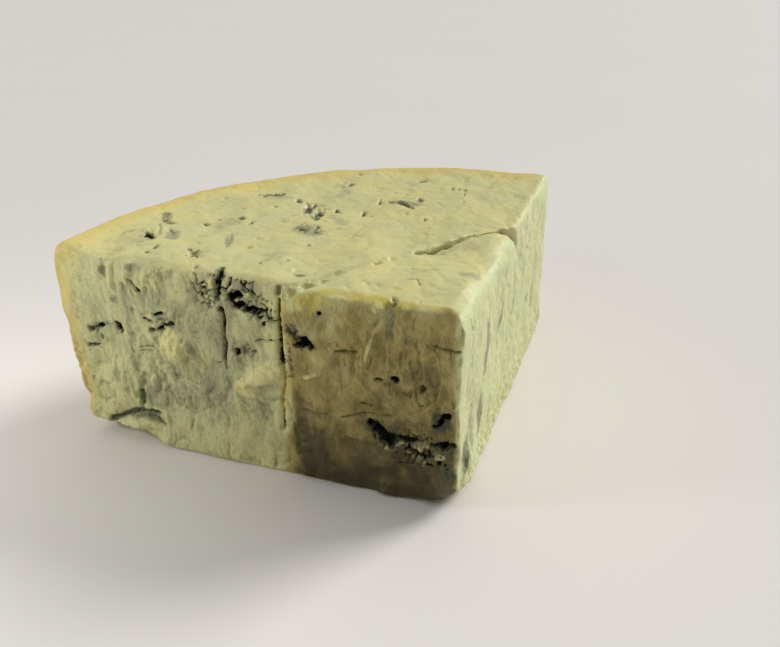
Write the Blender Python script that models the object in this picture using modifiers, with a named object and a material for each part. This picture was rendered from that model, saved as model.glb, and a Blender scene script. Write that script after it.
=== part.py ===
"""A wedge cut from a wheel of blue-veined cheese, split near its point by one deep slit.

Run with: blender --background --python part.py

Metres, +Z up. The base lies on z = 0, and the origin is under the middle of the wedge's
box. The point of the wedge looks along -Y, the rind along +Y.

Three lengths place everything on the wedge: how far it is along the left cut side and
along the right cut side, both counted from the point, and its height. The two cut sides
meet at a right angle.
"""
import math

import bpy
import bmesh
import numpy as np
from mathutils import Matrix

MM = 0.001

# The wheel that the wedge was cut from, and the wedge's own sizes
WHEEL_RADIUS = 140.6 * MM
CUT_PAST_CENTRE = 16.4 * MM      # the two cuts meet this far beyond the wheel's centre
HEIGHT_AT_POINT = 72.0 * MM
TOP_RISE_LEFT = 0.0394           # rise of the top for each metre along the left side
TOP_RISE_RIGHT = 0.0295          # and along the right side
POINT_Y = -77.8 * MM             # puts the middle of the wedge's box at the origin

# The wheel's side, from top to base
RIM_ROUND = 6 * MM
BASE_ROUND = 7 * MM
SIDE_BULGE_HEIGHT = 0.8          # the widest level, as a share of the height
SIDE_TAPER = 2.5 * MM            # how much narrower the wheel is at its base
RIM_LIFT = 1.2 * MM              # the rim stands this much above the sunken paste

# The slit: where it starts on the left and right cut sides, at the top
SLIT_ON_LEFT = 59 * MM
SLIT_ON_RIGHT = 79 * MM
SLIT_FLOOR_LEFT = 17 * MM        # height of its floor at the left cut face
SLIT_FLOOR_RIGHT = 66 * MM       # and at the right cut face
SLIT_WIDTH_TOP = 2.2 * MM
SLIT_WIDTH_FLOOR = 1.3 * MM
SLIT_BEND = 2.1                  # how fast it leans away from the point with depth, per metre
POINT_LEAN = 1.6 * MM            # how far the slit pushed the top of the point aside
LIP_ROUND = 6.5 * MM             # rounding of the point's top corner beside the slit
LIP_REACH = 26 * MM              # how far along the slit that rounding fades out
SLIT_DIP_AT = 48 * MM            # a shallow hollow in the point's top, beside the slit
SLIT_END_DROP = 4.4 * MM         # the fallen edge where the slit meets the right cut

# Wear along the foot of the two cut faces
POINT_WEAR = 7.6 * MM            # height of the worn-away corner under the point
HEEL_WEAR = 6.6 * MM             # and of the lifted foot at the rind end of the left cut
EDGE_WEAR_WIDTH = 11 * MM        # how far in under the wedge the wear reaches

# Mesh sizes
VOXEL = 0.9 * MM
FINE_VOXEL = 0.65 * MM           # small enough to keep the narrow slit open
SOFTEN_STEPS = 8
TRIANGLES = 11200

HALF_TURN = math.sqrt(0.5)
LEFT_DIR = np.array([-HALF_TURN, HALF_TURN, 0.0])
RIGHT_DIR = np.array([HALF_TURN, HALF_TURN, 0.0])
POINT = np.array([0.0, POINT_Y, 0.0])
WHEEL_CENTRE = POINT + np.array([0.0, CUT_PAST_CENTRE, 0.0])

CHEESE_COLOUR = (0.60, 0.55, 0.28, 1.0)

# Holes and mould pockets: face, middle (two lengths on that face), half sizes, turn in
# degrees and depth, all in millimetres. Faces measure (along left, height) on the left
# cut, (along right, height) on the right cut and (along left, along right) on the top.
POCKETS = [
    ("left", (75, 66.0), (6.5, 1.7), -12, 6.5),
    ("left", (79, 69.5), (3.0, 1.6), 35, 5.0),
    ("left", (52, 56.0), (3.4, 2.3), -10, 7.0),
    ("left", (108, 51.5), (5.5, 1.6), 15, 5.0),
    ("left", (108, 57.5), (2.5, 1.2), 25, 3.0),
    ("left", (128, 49.3), (1.7, 1.5), 0, 5.5),
    ("left", (139, 47.5), (4.5, 1.3), -14, 3.5),
    ("left", (142, 40.0), (2.6, 1.0), -20, 2.5),
    ("left", (75, 48.5), (4.5, 2.2), 0, 2.0),
    ("left", (24, 47.0), (3.4, 1.3), 10, 2.6),
    ("left", (26, 23.5), (4.6, 2.6), 20, 4.5),
    ("left", (14, 26.0), (5.0, 2.0), 0, 2.6),
    ("left", (6, 26.0), (3.6, 2.4), 0, 5.0),
    ("left", (6, 36.0), (3.2, 2.4), 0, 3.6),
    ("left", (47, 67.0), (1.2, 1.0), 0, 2.0),
    ("left", (122, 20.5), (3.0, 3.4), 0, 1.8),
    ("top", (82, 1.0), (1.3, 2.6), 0, 6.0),
    ("top", (84, 71.0), (2.6, 6.5), 10, 4.0),
    ("top", (77, 62.5), (3.2, 6.8), 12, 4.5),
    ("top", (106, 81.0), (5.5, 4.2), 0, 2.2),
    ("top", (79.5, 104.5), (2.6, 2.6), 0, 2.4),
    ("top", (48, 89.0), (7.0, 4.0), 0, 2.2),
    ("top", (61, 74.5), (1.6, 2.8), 0, 2.4),
    ("top", (52, 120.5), (2.2, 3.4), 0, 2.2),
    ("top", (128, 38.0), (3.2, 6.0), 25, 3.6),
    ("top", (123, 21.0), (2.2, 2.4), 0, 5.5),
    ("top", (110.5, 46.0), (1.7, 2.2), 0, 3.6),
    ("top", (71, 47.5), (6.0, 4.5), 0, 2.0),
    ("top", (99, 12.0), (4.0, 4.5), 0, 1.6),
    ("right", (28, 44.5), (2.5, 2.0), 0, 1.8),
    ("right", (110, 32.0), (4.5, 2.6), 20, 2.2),
    ("right", (80, 48.0), (4.5, 5.5), 0, 1.4),
    ("right", (7, 15.0), (2.4, 2.6), 0, 2.0),
]

# Narrow cracks and needle channels: face, the line's points, half width and depth (mm)
GROOVES = [
    ("left", [(82, 79), (82.5, 66), (83, 44)], 1.2, 5.0),
    ("left", [(83, 44), (83.5, 30)], 1.2, 1.6),
    ("left", [(61, 79), (60.5, 68)], 1.5, 2.2),
    ("left", [(120, 76), (121, 45), (122, 15)], 1.6, 1.6),
    ("left", [(23, 78), (23.5, 66), (25, 60)], 1.7, 2.4),
    ("left", [(58.5, 43), (59.2, 30), (60, 15), (58, 0)], 1.3, 1.8),
    ("left", [(68, 65), (64, 64), (63.5, 61), (60, 60.5)], 0.9, 4.0),
    ("left", [(70, 53.5), (61, 53.5)], 0.6, 1.6),
    ("left", [(57, 61), (55, 57), (52, 55)], 1.0, 2.5),
    ("left", [(119, 71), (116, 67), (113, 65)], 0.8, 1.8),
    ("left", [(131, 49), (136, 47), (143, 46)], 0.8, 2.0),
    ("left", [(96, 76), (90, 70), (88, 63)], 1.0, 1.6),
    ("left", [(141, 7), (135, 12), (128, 13.5), (119, 11), (114, 9)], 2.2, 2.6),
    ("left", [(33, 29), (22, 26.5), (12, 28), (2, 25)], 1.2, 2.2),
]

# Soft swellings of the paste: face, middle, half sizes and height (mm)
SWELLINGS = [
    ("left", (99, 44), (5, 9), 1.4),
    ("left", (108, 71), (4.5, 5), 1.6),
    ("left", (130, 71), (3.5, 5), 1.2),
    ("left", (70, 41), (9, 3), 1.3),
    ("left", (40, 70), (16, 5), 1.0),
]


def smooth_step(low, high, value):
    """0 below low, 1 above high and a smooth slope between; low may be the larger one."""
    share = np.clip((value - low) / (high - low), 0.0, 1.0)
    return share * share * (3.0 - 2.0 * share)


def lumps(points, size, seed, waves=18):
    """Smooth random unevenness, mostly between -1 and 1, with lumps of about this size."""
    draw = np.random.default_rng(seed)
    directions = draw.normal(size=(waves, 3))
    directions /= np.linalg.norm(directions, axis=1)[:, None]
    directions *= math.pi / size * draw.uniform(0.7, 1.4, (waves, 1))
    phases = draw.uniform(0.0, 2.0 * math.pi, waves)
    return np.cos(points @ directions.T + phases).sum(axis=1) / math.sqrt(waves)


def wedge_lengths(points):
    """How far each point is along the left side and along the right side, from the tip."""
    from_point = points - POINT
    return from_point @ LEFT_DIR, from_point @ RIGHT_DIR


def top_height(along_left, along_right):
    """Height of the sloping top."""
    return HEIGHT_AT_POINT + TOP_RISE_LEFT * along_left + TOP_RISE_RIGHT * along_right


def clear_scene():
    for scene_object in list(bpy.data.objects):
        bpy.data.objects.remove(scene_object)


def new_object(name, mesh, collection):
    made = bpy.data.objects.new(name, mesh)
    collection.objects.link(made)
    return made


def new_collection(name):
    collection = bpy.data.collections.new(name)
    bpy.context.scene.collection.children.link(collection)
    return collection


def wheel_profile():
    """Half section of the wheel as (radius, height), from the top's middle down and in."""
    height = HEIGHT_AT_POINT
    widest = SIDE_BULGE_HEIGHT * height

    def side_radius(level):
        return WHEEL_RADIUS - SIDE_TAPER * ((level - widest) / widest) ** 2

    outline = [(0.0, height)]
    rim_radius = side_radius(height - RIM_ROUND) - RIM_ROUND
    for step in range(7):
        turn = math.radians(90 - 15 * step)
        outline.append((rim_radius + RIM_ROUND * math.cos(turn),
                        height - RIM_ROUND + RIM_ROUND * math.sin(turn)))
    for share in (0.15, 0.3, 0.45, 0.6, 0.75, 0.9):
        level = height - RIM_ROUND + share * (BASE_ROUND + RIM_ROUND - height)
        outline.append((side_radius(level), level))
    base_radius = side_radius(BASE_ROUND) - BASE_ROUND
    for step in range(7):
        turn = math.radians(-15 * step)
        outline.append((base_radius + BASE_ROUND * math.cos(turn),
                        BASE_ROUND + BASE_ROUND * math.sin(turn)))
    outline.append((0.0, 0.0))
    return outline


def make_wheel(collection):
    """The whole wheel: its half section turned once round."""
    mesh = bpy.data.meshes.new("wheel")
    outline = wheel_profile()
    corners = [(radius, 0.0, level) for radius, level in outline]
    edges = [(step, step + 1) for step in range(len(corners) - 1)]
    mesh.from_pydata(corners, edges, [])
    wheel = new_object("wheel", mesh, collection)
    wheel.location = WHEEL_CENTRE
    turn = wheel.modifiers.new("turn", "SCREW")
    turn.axis = "Z"
    turn.angle = 2.0 * math.pi
    turn.steps = 128
    turn.render_steps = 128
    turn.use_merge_vertices = True
    turn.merge_threshold = 0.00005
    return wheel


def make_quarter_box(collection):
    """A box with one upright edge on the wedge's point, whose sides are the two cuts."""
    size = 0.4
    box_mesh = bpy.data.meshes.new("quarter_box")
    shape = bmesh.new()
    bmesh.ops.create_cube(shape, size=size)
    bmesh.ops.translate(shape, vec=(size / 2, size / 2, 0.0), verts=shape.verts)
    bmesh.ops.rotate(shape, cent=(0, 0, 0), matrix=Matrix.Rotation(math.pi / 4, 3, "Z"),
                     verts=shape.verts)
    shape.to_mesh(box_mesh)
    shape.free()
    box = new_object("quarter_box", box_mesh, collection)
    box.location = POINT
    hide_guide(box)
    return box


def hide_guide(guide):
    guide.hide_render = True
    guide.display_type = "WIRE"


def evaluated_mesh(source):
    """The object's mesh after its modifiers, with the object's place worked into it."""
    bpy.context.view_layer.update()
    graph = bpy.context.evaluated_depsgraph_get()
    mesh = bpy.data.meshes.new_from_object(source.evaluated_get(graph))
    mesh.transform(source.matrix_world)
    return mesh


def add_remesh(target, voxel):
    remesh = target.modifiers.new("remesh", "REMESH")
    remesh.mode = "VOXEL"
    remesh.voxel_size = voxel


def cut_wedge(wheel, quarter_box):
    """The plain wedge as an even, finely divided mesh with softened edges."""
    quarter = wheel.modifiers.new("quarter", "BOOLEAN")
    quarter.operation = "INTERSECT"
    quarter.solver = "EXACT"
    quarter.object = quarter_box
    add_remesh(wheel, VOXEL)
    soften = wheel.modifiers.new("soften", "SMOOTH")
    soften.factor = 0.5
    soften.iterations = SOFTEN_STEPS
    return evaluated_mesh(wheel)


def mesh_points(mesh):
    points = np.empty(len(mesh.vertices) * 3, dtype=np.float32)
    mesh.vertices.foreach_get("co", points)
    return points.reshape(-1, 3).astype(float)


def mesh_normals(mesh):
    normals = np.empty(len(mesh.vertices) * 3, dtype=np.float32)
    mesh.vertices.foreach_get("normal", normals)
    return normals.reshape(-1, 3).astype(float)


def set_mesh_points(mesh, points):
    mesh.vertices.foreach_set("co", points.astype(np.float32).ravel())
    mesh.update()


def rind_distance(points):
    """How far inside the wheel's widest circle each point is."""
    from_centre = points - WHEEL_CENTRE
    return WHEEL_RADIUS - np.hypot(from_centre[:, 0], from_centre[:, 1])


def tilt_top(points):
    """Stretch the wedge upwards so that its top slopes up to the rind and its raised rim."""
    rim = RIM_LIFT * smooth_step(16 * MM, 4 * MM, rind_distance(points))
    stretched = points.copy()
    stretched[:, 2] *= (top_height(*wedge_lengths(points)) + rim) / HEIGHT_AT_POINT
    return stretched


def slit_side(points):
    """Signed distance from the slit's middle surface; it is positive on the point's side."""
    along_left, along_right = wedge_lengths(points)
    depth = np.clip(HEIGHT_AT_POINT - points[:, 2], 0.0, None)
    bend = SLIT_BEND * depth ** 2
    length = math.hypot(SLIT_ON_LEFT, SLIT_ON_RIGHT)
    across = SLIT_ON_LEFT * SLIT_ON_RIGHT - SLIT_ON_RIGHT * along_left - SLIT_ON_LEFT * along_right
    return across / length + bend * SLIT_ON_RIGHT / length


def slit_floor(along_right):
    """Height of the slit's floor, which climbs from the left cut to the right one."""
    share = along_right / SLIT_ON_RIGHT
    return SLIT_FLOOR_LEFT + (SLIT_FLOOR_RIGHT - SLIT_FLOOR_LEFT) * share


def push_point_aside(points):
    """Above the slit's floor the point leans away from the rest of the wedge."""
    along_left, along_right = wedge_lengths(points)
    floor = slit_floor(along_right)
    top = top_height(along_left, along_right)
    lift = np.clip((points[:, 2] - floor) / (top - floor), 0.0, 1.0)
    share = smooth_step(-0.4 * MM, 0.4 * MM, slit_side(points)) * lift
    across = -(SLIT_ON_RIGHT * LEFT_DIR + SLIT_ON_LEFT * RIGHT_DIR)
    across /= np.linalg.norm(across)
    return points + (POINT_LEAN * share)[:, None] * across


def line_distance(first, second, line):
    """Distance in the plane of a face from each point to a line of straight runs."""
    nearest = np.full(len(first), np.inf)
    for start, end in zip(line[:-1], line[1:]):
        run = np.subtract(end, start)
        share = ((first - start[0]) * run[0] + (second - start[1]) * run[1]) / (run @ run)
        share = np.clip(share, 0.0, 1.0)
        gap = np.hypot(first - start[0] - share * run[0], second - start[1] - share * run[1])
        nearest = np.minimum(nearest, gap)
    return nearest


def pocket_depth(first, second, middle, half_sizes, turn, depth, ragged):
    """Depth of one pocket with an uneven edge."""
    angle = math.radians(turn)
    offset = (first - middle[0], second - middle[1])
    main = offset[0] * math.cos(angle) + offset[1] * math.sin(angle)
    side = offset[1] * math.cos(angle) - offset[0] * math.sin(angle)
    reach = np.hypot(main / half_sizes[0], side / half_sizes[1]) + 0.22 * ragged
    return depth * smooth_step(1.25, 0.55, reach)


def groove_depth(first, second, line, half_width, depth, ragged):
    """Depth of one crack or channel, which comes and goes a little along its line."""
    gap = line_distance(first, second, line) / half_width + 0.3 * ragged
    return depth * smooth_step(1.4, 0.4, gap)


def face_swellings(face, first, second):
    """Height of one face's named swellings, in metres."""
    height = np.zeros(len(first))
    for where, middle, half_sizes, rise in SWELLINGS:
        if where == face:
            reach = np.hypot((first / MM - middle[0]) / half_sizes[0],
                             (second / MM - middle[1]) / half_sizes[1])
            height += rise * smooth_step(1.3, 0.2, reach)
    return height * MM


def face_hollows(face, first, second, points):
    """Depth of all the pockets and grooves of one face, in metres."""
    first = first / MM
    second = second / MM
    ragged = lumps(points, 3.0 * MM, seed=11)
    hollow = np.zeros(len(points))
    for where, middle, half_sizes, turn, depth in POCKETS:
        if where == face:
            found = pocket_depth(first, second, middle, half_sizes, turn, depth, ragged)
            hollow = np.maximum(hollow, found)
    for where, line, half_width, depth in GROOVES:
        if where == face:
            found = groove_depth(first, second, line, half_width, depth, ragged)
            hollow = np.maximum(hollow, found)
    return hollow * MM


def shape_surface(points, normals):
    """Move the plain wedge's skin in or out to give the uneven, pitted faces."""
    along_left, along_right = wedge_lengths(points)
    height = points[:, 2]
    clear_of_base = smooth_step(0.3 * MM, 5 * MM, height)
    clear_of_rim = smooth_step(4 * MM, 14 * MM, rind_distance(points))
    swell = 0.7 * lumps(points, 17 * MM, seed=1) + 0.35 * lumps(points, 7 * MM, seed=2)

    faces = [
        ("left", -RIGHT_DIR, along_left, height, 1.0 * clear_of_base),
        ("right", -LEFT_DIR, along_right, height, 0.7 * clear_of_base),
        ("top", np.array([0.0, 0.0, 1.0]), along_left, along_right, 0.7 * clear_of_rim),
    ]
    moved = points.copy()
    for face, outward, first, second, roughness in faces:
        on_face = smooth_step(0.45, 0.85, normals @ outward)
        relief = face_swellings(face, first, second) - face_hollows(face, first, second, points)
        moved += (on_face * (roughness * swell * MM + relief))[:, None] * outward

    rind_out = (points - WHEEL_CENTRE) * (1.0, 1.0, 0.0)
    rind_out /= np.maximum(np.linalg.norm(rind_out, axis=1), 1 * MM)[:, None]
    on_rind = smooth_step(8 * MM, 5 * MM, rind_distance(points)) * clear_of_base
    moved += (0.4 * MM * on_rind * swell)[:, None] * rind_out
    return moved


def round_slit_lip(points):
    """Round the point's top corner beside the slit, and sink its top where the slit ends."""
    along_left, along_right = wedge_lengths(points)
    below_top = top_height(along_left, along_right) - points[:, 2]
    side = slit_side(points)
    on_point = smooth_step(-0.5 * MM, 0.0, side)
    near_top = smooth_step(25 * MM, 0.0, below_top) * on_point

    radius = LIP_ROUND * smooth_step(LIP_REACH, 2 * MM, along_right)
    inside = np.clip(radius - np.maximum(side, 0.0), 0.0, None)
    corner = radius - np.sqrt(np.maximum(radius ** 2 - inside ** 2, 0.0))

    hollow = 2.4 * MM * np.exp(-((along_right - SLIT_DIP_AT) / (8 * MM)) ** 2)
    fallen_end = SLIT_END_DROP * smooth_step(SLIT_ON_RIGHT - 11 * MM, SLIT_ON_RIGHT, along_right)
    sunken = (hollow + fallen_end) * smooth_step(12 * MM, 0.0, side)
    lowered = points.copy()
    lowered[:, 2] -= (corner + sunken) * near_top
    return lowered


def wear_base_edges(points):
    """Lift the lower edges where the wedge's foot is worn away or rolls under."""
    along_left, along_right = wedge_lengths(points)
    left_edge = (HEEL_WEAR * smooth_step(110 * MM, 128 * MM, along_left)
                 + 0.75 * POINT_WEAR * np.exp(-along_left / (11 * MM)))
    right_edge = POINT_WEAR * np.exp(-along_right / (12 * MM))
    lift = np.maximum(left_edge * smooth_step(EDGE_WEAR_WIDTH, 0.0, along_right) ** 1.5,
                      right_edge * smooth_step(EDGE_WEAR_WIDTH, 0.0, along_left) ** 1.5)
    lifted = points.copy()
    lifted[:, 2] = np.maximum(points[:, 2], lift + 0.25 * points[:, 2])
    return lifted


def level_base(points):
    """Lay what is almost on the base exactly on it."""
    levelled = points.copy()
    levelled[points[:, 2] < 0.12 * MM, 2] = 0.0
    return levelled


def make_slit_cutter(collection):
    """The slit's own thin curved space, wide at the top and narrow at its floor."""
    mesh = bpy.data.meshes.new("slit_cutter")
    shape = bmesh.new()
    bmesh.ops.create_cube(shape, size=1.0)
    bmesh.ops.subdivide_edges(shape, edges=shape.edges, cuts=15, use_grid_fill=True)
    shape.to_mesh(mesh)
    shape.free()
    unit = mesh_points(mesh)
    along = unit[:, 0] + 0.5
    across = unit[:, 1] * 2.0
    up = unit[:, 2] + 0.5

    run_past = 0.09
    share = along * (1.0 + 2.0 * run_past) - run_past
    floor = slit_floor(share * SLIT_ON_RIGHT)
    ceiling = HEIGHT_AT_POINT + 15 * MM
    height = floor + (ceiling - floor) * up
    depth = np.clip(HEIGHT_AT_POINT - height, 0.0, None)
    left = SLIT_ON_LEFT * (1.0 - share) + SLIT_BEND * depth ** 2
    right = SLIT_ON_RIGHT * share
    points = POINT + left[:, None] * LEFT_DIR + right[:, None] * RIGHT_DIR
    points[:, 2] = height

    sideways = SLIT_ON_RIGHT * LEFT_DIR + SLIT_ON_LEFT * RIGHT_DIR
    sideways /= np.linalg.norm(sideways)
    width = SLIT_WIDTH_FLOOR + (SLIT_WIDTH_TOP - SLIT_WIDTH_FLOOR) * up
    wander = 0.25 * MM * lumps(points, 12 * MM, seed=5)
    set_mesh_points(mesh, points + (across * width / 2.0 + wander)[:, None] * sideways)
    cutter = new_object("slit_cutter", mesh, collection)
    hide_guide(cutter)
    return cutter


def cheese_material():
    material = bpy.data.materials.new("cheese")
    material.use_nodes = True
    shader = material.node_tree.nodes["Principled BSDF"]
    shader.inputs["Base Color"].default_value = CHEESE_COLOUR
    shader.inputs["Roughness"].default_value = 0.5
    shader.inputs["Metallic"].default_value = 0.0
    return material


def make_wedge(parts, guides):
    """The wedge as one solid: cut from the wheel, weathered, slit and simplified."""
    wheel = make_wheel(guides)
    mesh = cut_wedge(wheel, make_quarter_box(guides))
    bpy.data.objects.remove(wheel)

    points = shape_surface(tilt_top(mesh_points(mesh)), mesh_normals(mesh))
    points = push_point_aside(round_slit_lip(points))
    set_mesh_points(mesh, level_base(wear_base_edges(points)))

    wedge = new_object("gorgonzola_wedge", mesh, parts)
    add_remesh(wedge, VOXEL)
    slit = wedge.modifiers.new("slit", "BOOLEAN")
    slit.operation = "DIFFERENCE"
    slit.solver = "EXACT"
    slit.object = make_slit_cutter(guides)
    add_remesh(wedge, FINE_VOXEL)
    fine_mesh = evaluated_mesh(wedge)

    wedge.modifiers.clear()
    wedge.data = fine_mesh
    simplify = wedge.modifiers.new("simplify", "DECIMATE")
    simplify.ratio = TRIANGLES / (2.0 * len(fine_mesh.polygons))
    simple_mesh = evaluated_mesh(wedge)

    wedge.modifiers.clear()
    wedge.data = simple_mesh
    set_mesh_points(simple_mesh, level_base(mesh_points(simple_mesh)))
    simple_mesh.materials.append(cheese_material())
    return wedge


def main():
    clear_scene()
    parts = new_collection("gorgonzola_wedge")
    guides = new_collection("guides")
    make_wedge(parts, guides)


main()
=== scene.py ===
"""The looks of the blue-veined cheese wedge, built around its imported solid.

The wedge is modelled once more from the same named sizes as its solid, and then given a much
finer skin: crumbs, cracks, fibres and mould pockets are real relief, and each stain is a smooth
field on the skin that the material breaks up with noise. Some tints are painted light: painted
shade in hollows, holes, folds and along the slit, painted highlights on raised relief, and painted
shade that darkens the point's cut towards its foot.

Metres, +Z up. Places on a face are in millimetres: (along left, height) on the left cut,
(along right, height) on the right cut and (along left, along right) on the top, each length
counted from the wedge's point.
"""
import math

import bpy
import bmesh
import numpy as np
from mathutils import Matrix, Vector

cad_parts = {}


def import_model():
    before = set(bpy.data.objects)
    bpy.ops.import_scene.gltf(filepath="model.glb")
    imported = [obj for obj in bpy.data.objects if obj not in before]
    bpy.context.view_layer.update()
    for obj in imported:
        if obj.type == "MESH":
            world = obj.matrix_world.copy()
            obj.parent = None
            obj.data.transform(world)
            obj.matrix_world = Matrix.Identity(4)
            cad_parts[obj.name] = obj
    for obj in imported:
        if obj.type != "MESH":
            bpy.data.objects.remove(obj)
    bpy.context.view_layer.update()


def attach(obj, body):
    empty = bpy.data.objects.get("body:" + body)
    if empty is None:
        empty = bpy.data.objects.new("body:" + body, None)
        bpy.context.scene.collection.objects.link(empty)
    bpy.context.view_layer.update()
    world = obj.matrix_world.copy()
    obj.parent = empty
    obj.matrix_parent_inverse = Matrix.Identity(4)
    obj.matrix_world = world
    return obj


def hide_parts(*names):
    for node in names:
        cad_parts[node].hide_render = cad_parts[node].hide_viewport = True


MM = 0.001

# The same sizes as the solid
WHEEL_RADIUS = 140.6 * MM
CUT_PAST_CENTRE = 16.4 * MM
HEIGHT_AT_POINT = 72 * MM
TOP_RISE_LEFT = 0.0394
TOP_RISE_RIGHT = 0.0295
POINT_Y = -77.8 * MM
RIM_ROUND = 6 * MM
BASE_ROUND = 7 * MM
SIDE_BULGE_HEIGHT = 0.8
SIDE_TAPER = 2.5 * MM
RIM_LIFT = 1.2 * MM
SLIT_ON_LEFT = 59 * MM
SLIT_ON_RIGHT = 79 * MM
SLIT_FLOOR_LEFT = 17 * MM
SLIT_FLOOR_RIGHT = 66 * MM
SLIT_WIDTH_LEFT = 1.2 * MM
SLIT_WIDTH_RIGHT = 2.2 * MM
SLIT_BEND = 2.1
SEAM_END = 0.6
POINT_LEAN = 1.6 * MM
LIP_ROUND = 6.5 * MM
LIP_REACH = 26 * MM
SLIT_DIP = 2.4 * MM
SLIT_DIP_AT = 48 * MM
SLIT_DIP_WIDTH = 8 * MM
SLIT_END_DROP = 4.4 * MM
SLIT_END_LENGTH = 11 * MM
POINT_WEAR = 7.6 * MM
HEEL_WEAR = 6.6 * MM
EDGE_WEAR_WIDTH = 11 * MM
LEFT_EDGE_ROUND_MM = 3
LEFT_EDGE_WEAR_MM = 1.6
RIGHT_EDGE_ROUND_MM = 2.4
RIGHT_EDGE_WEAR_MM = 4.6

WHEEL_STEPS = 128
CORNER_STEP_DEGREES = 15
VOXEL = 0.9 * MM
FINE_VOXEL = 0.45 * MM
SOFTEN_STEPS = 8
TRIANGLES = 198000
SLIT_CUTS = 63
SLIT_RUN_PAST = 0.09
SLIT_RISE_MM = 15
BASE_SNAP = 0.12 * MM
FLOOR_HALF_SIZE = 40

# The camera, worked out from the wedge's straight edges
SENSOR_MM = 36
LENS_MM = 33.358
CAMERA_PLACE = (-0.09602, -0.24276, 0.1598)
CAMERA_TURNS = (64.596, 1.404, -24.568)

HALF_TURN = math.sqrt(0.5)
LEFT_DIR = np.array([-HALF_TURN, HALF_TURN, 0.0])
RIGHT_DIR = np.array([HALF_TURN, HALF_TURN, 0.0])
UP = np.array([0.0, 0.0, 1.0])
POINT = np.array([0.0, POINT_Y, 0.0])
WHEEL_CENTRE = POINT + np.array([0.0, CUT_PAST_CENTRE, 0.0])
SLIT_OUTWARD = SLIT_ON_RIGHT * LEFT_DIR + SLIT_ON_LEFT * RIGHT_DIR
SLIT_OUTWARD /= np.linalg.norm(SLIT_OUTWARD)

TINTS = ("blue", "black", "olive", "veil", "amber", "cream", "rind", "brown", "calm", "green",
         "relief")

# An oval is its middle, its half sizes and, where it has one, its turn in degrees;
# the other numbers are millimetres and shares from 0 to 1

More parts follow.
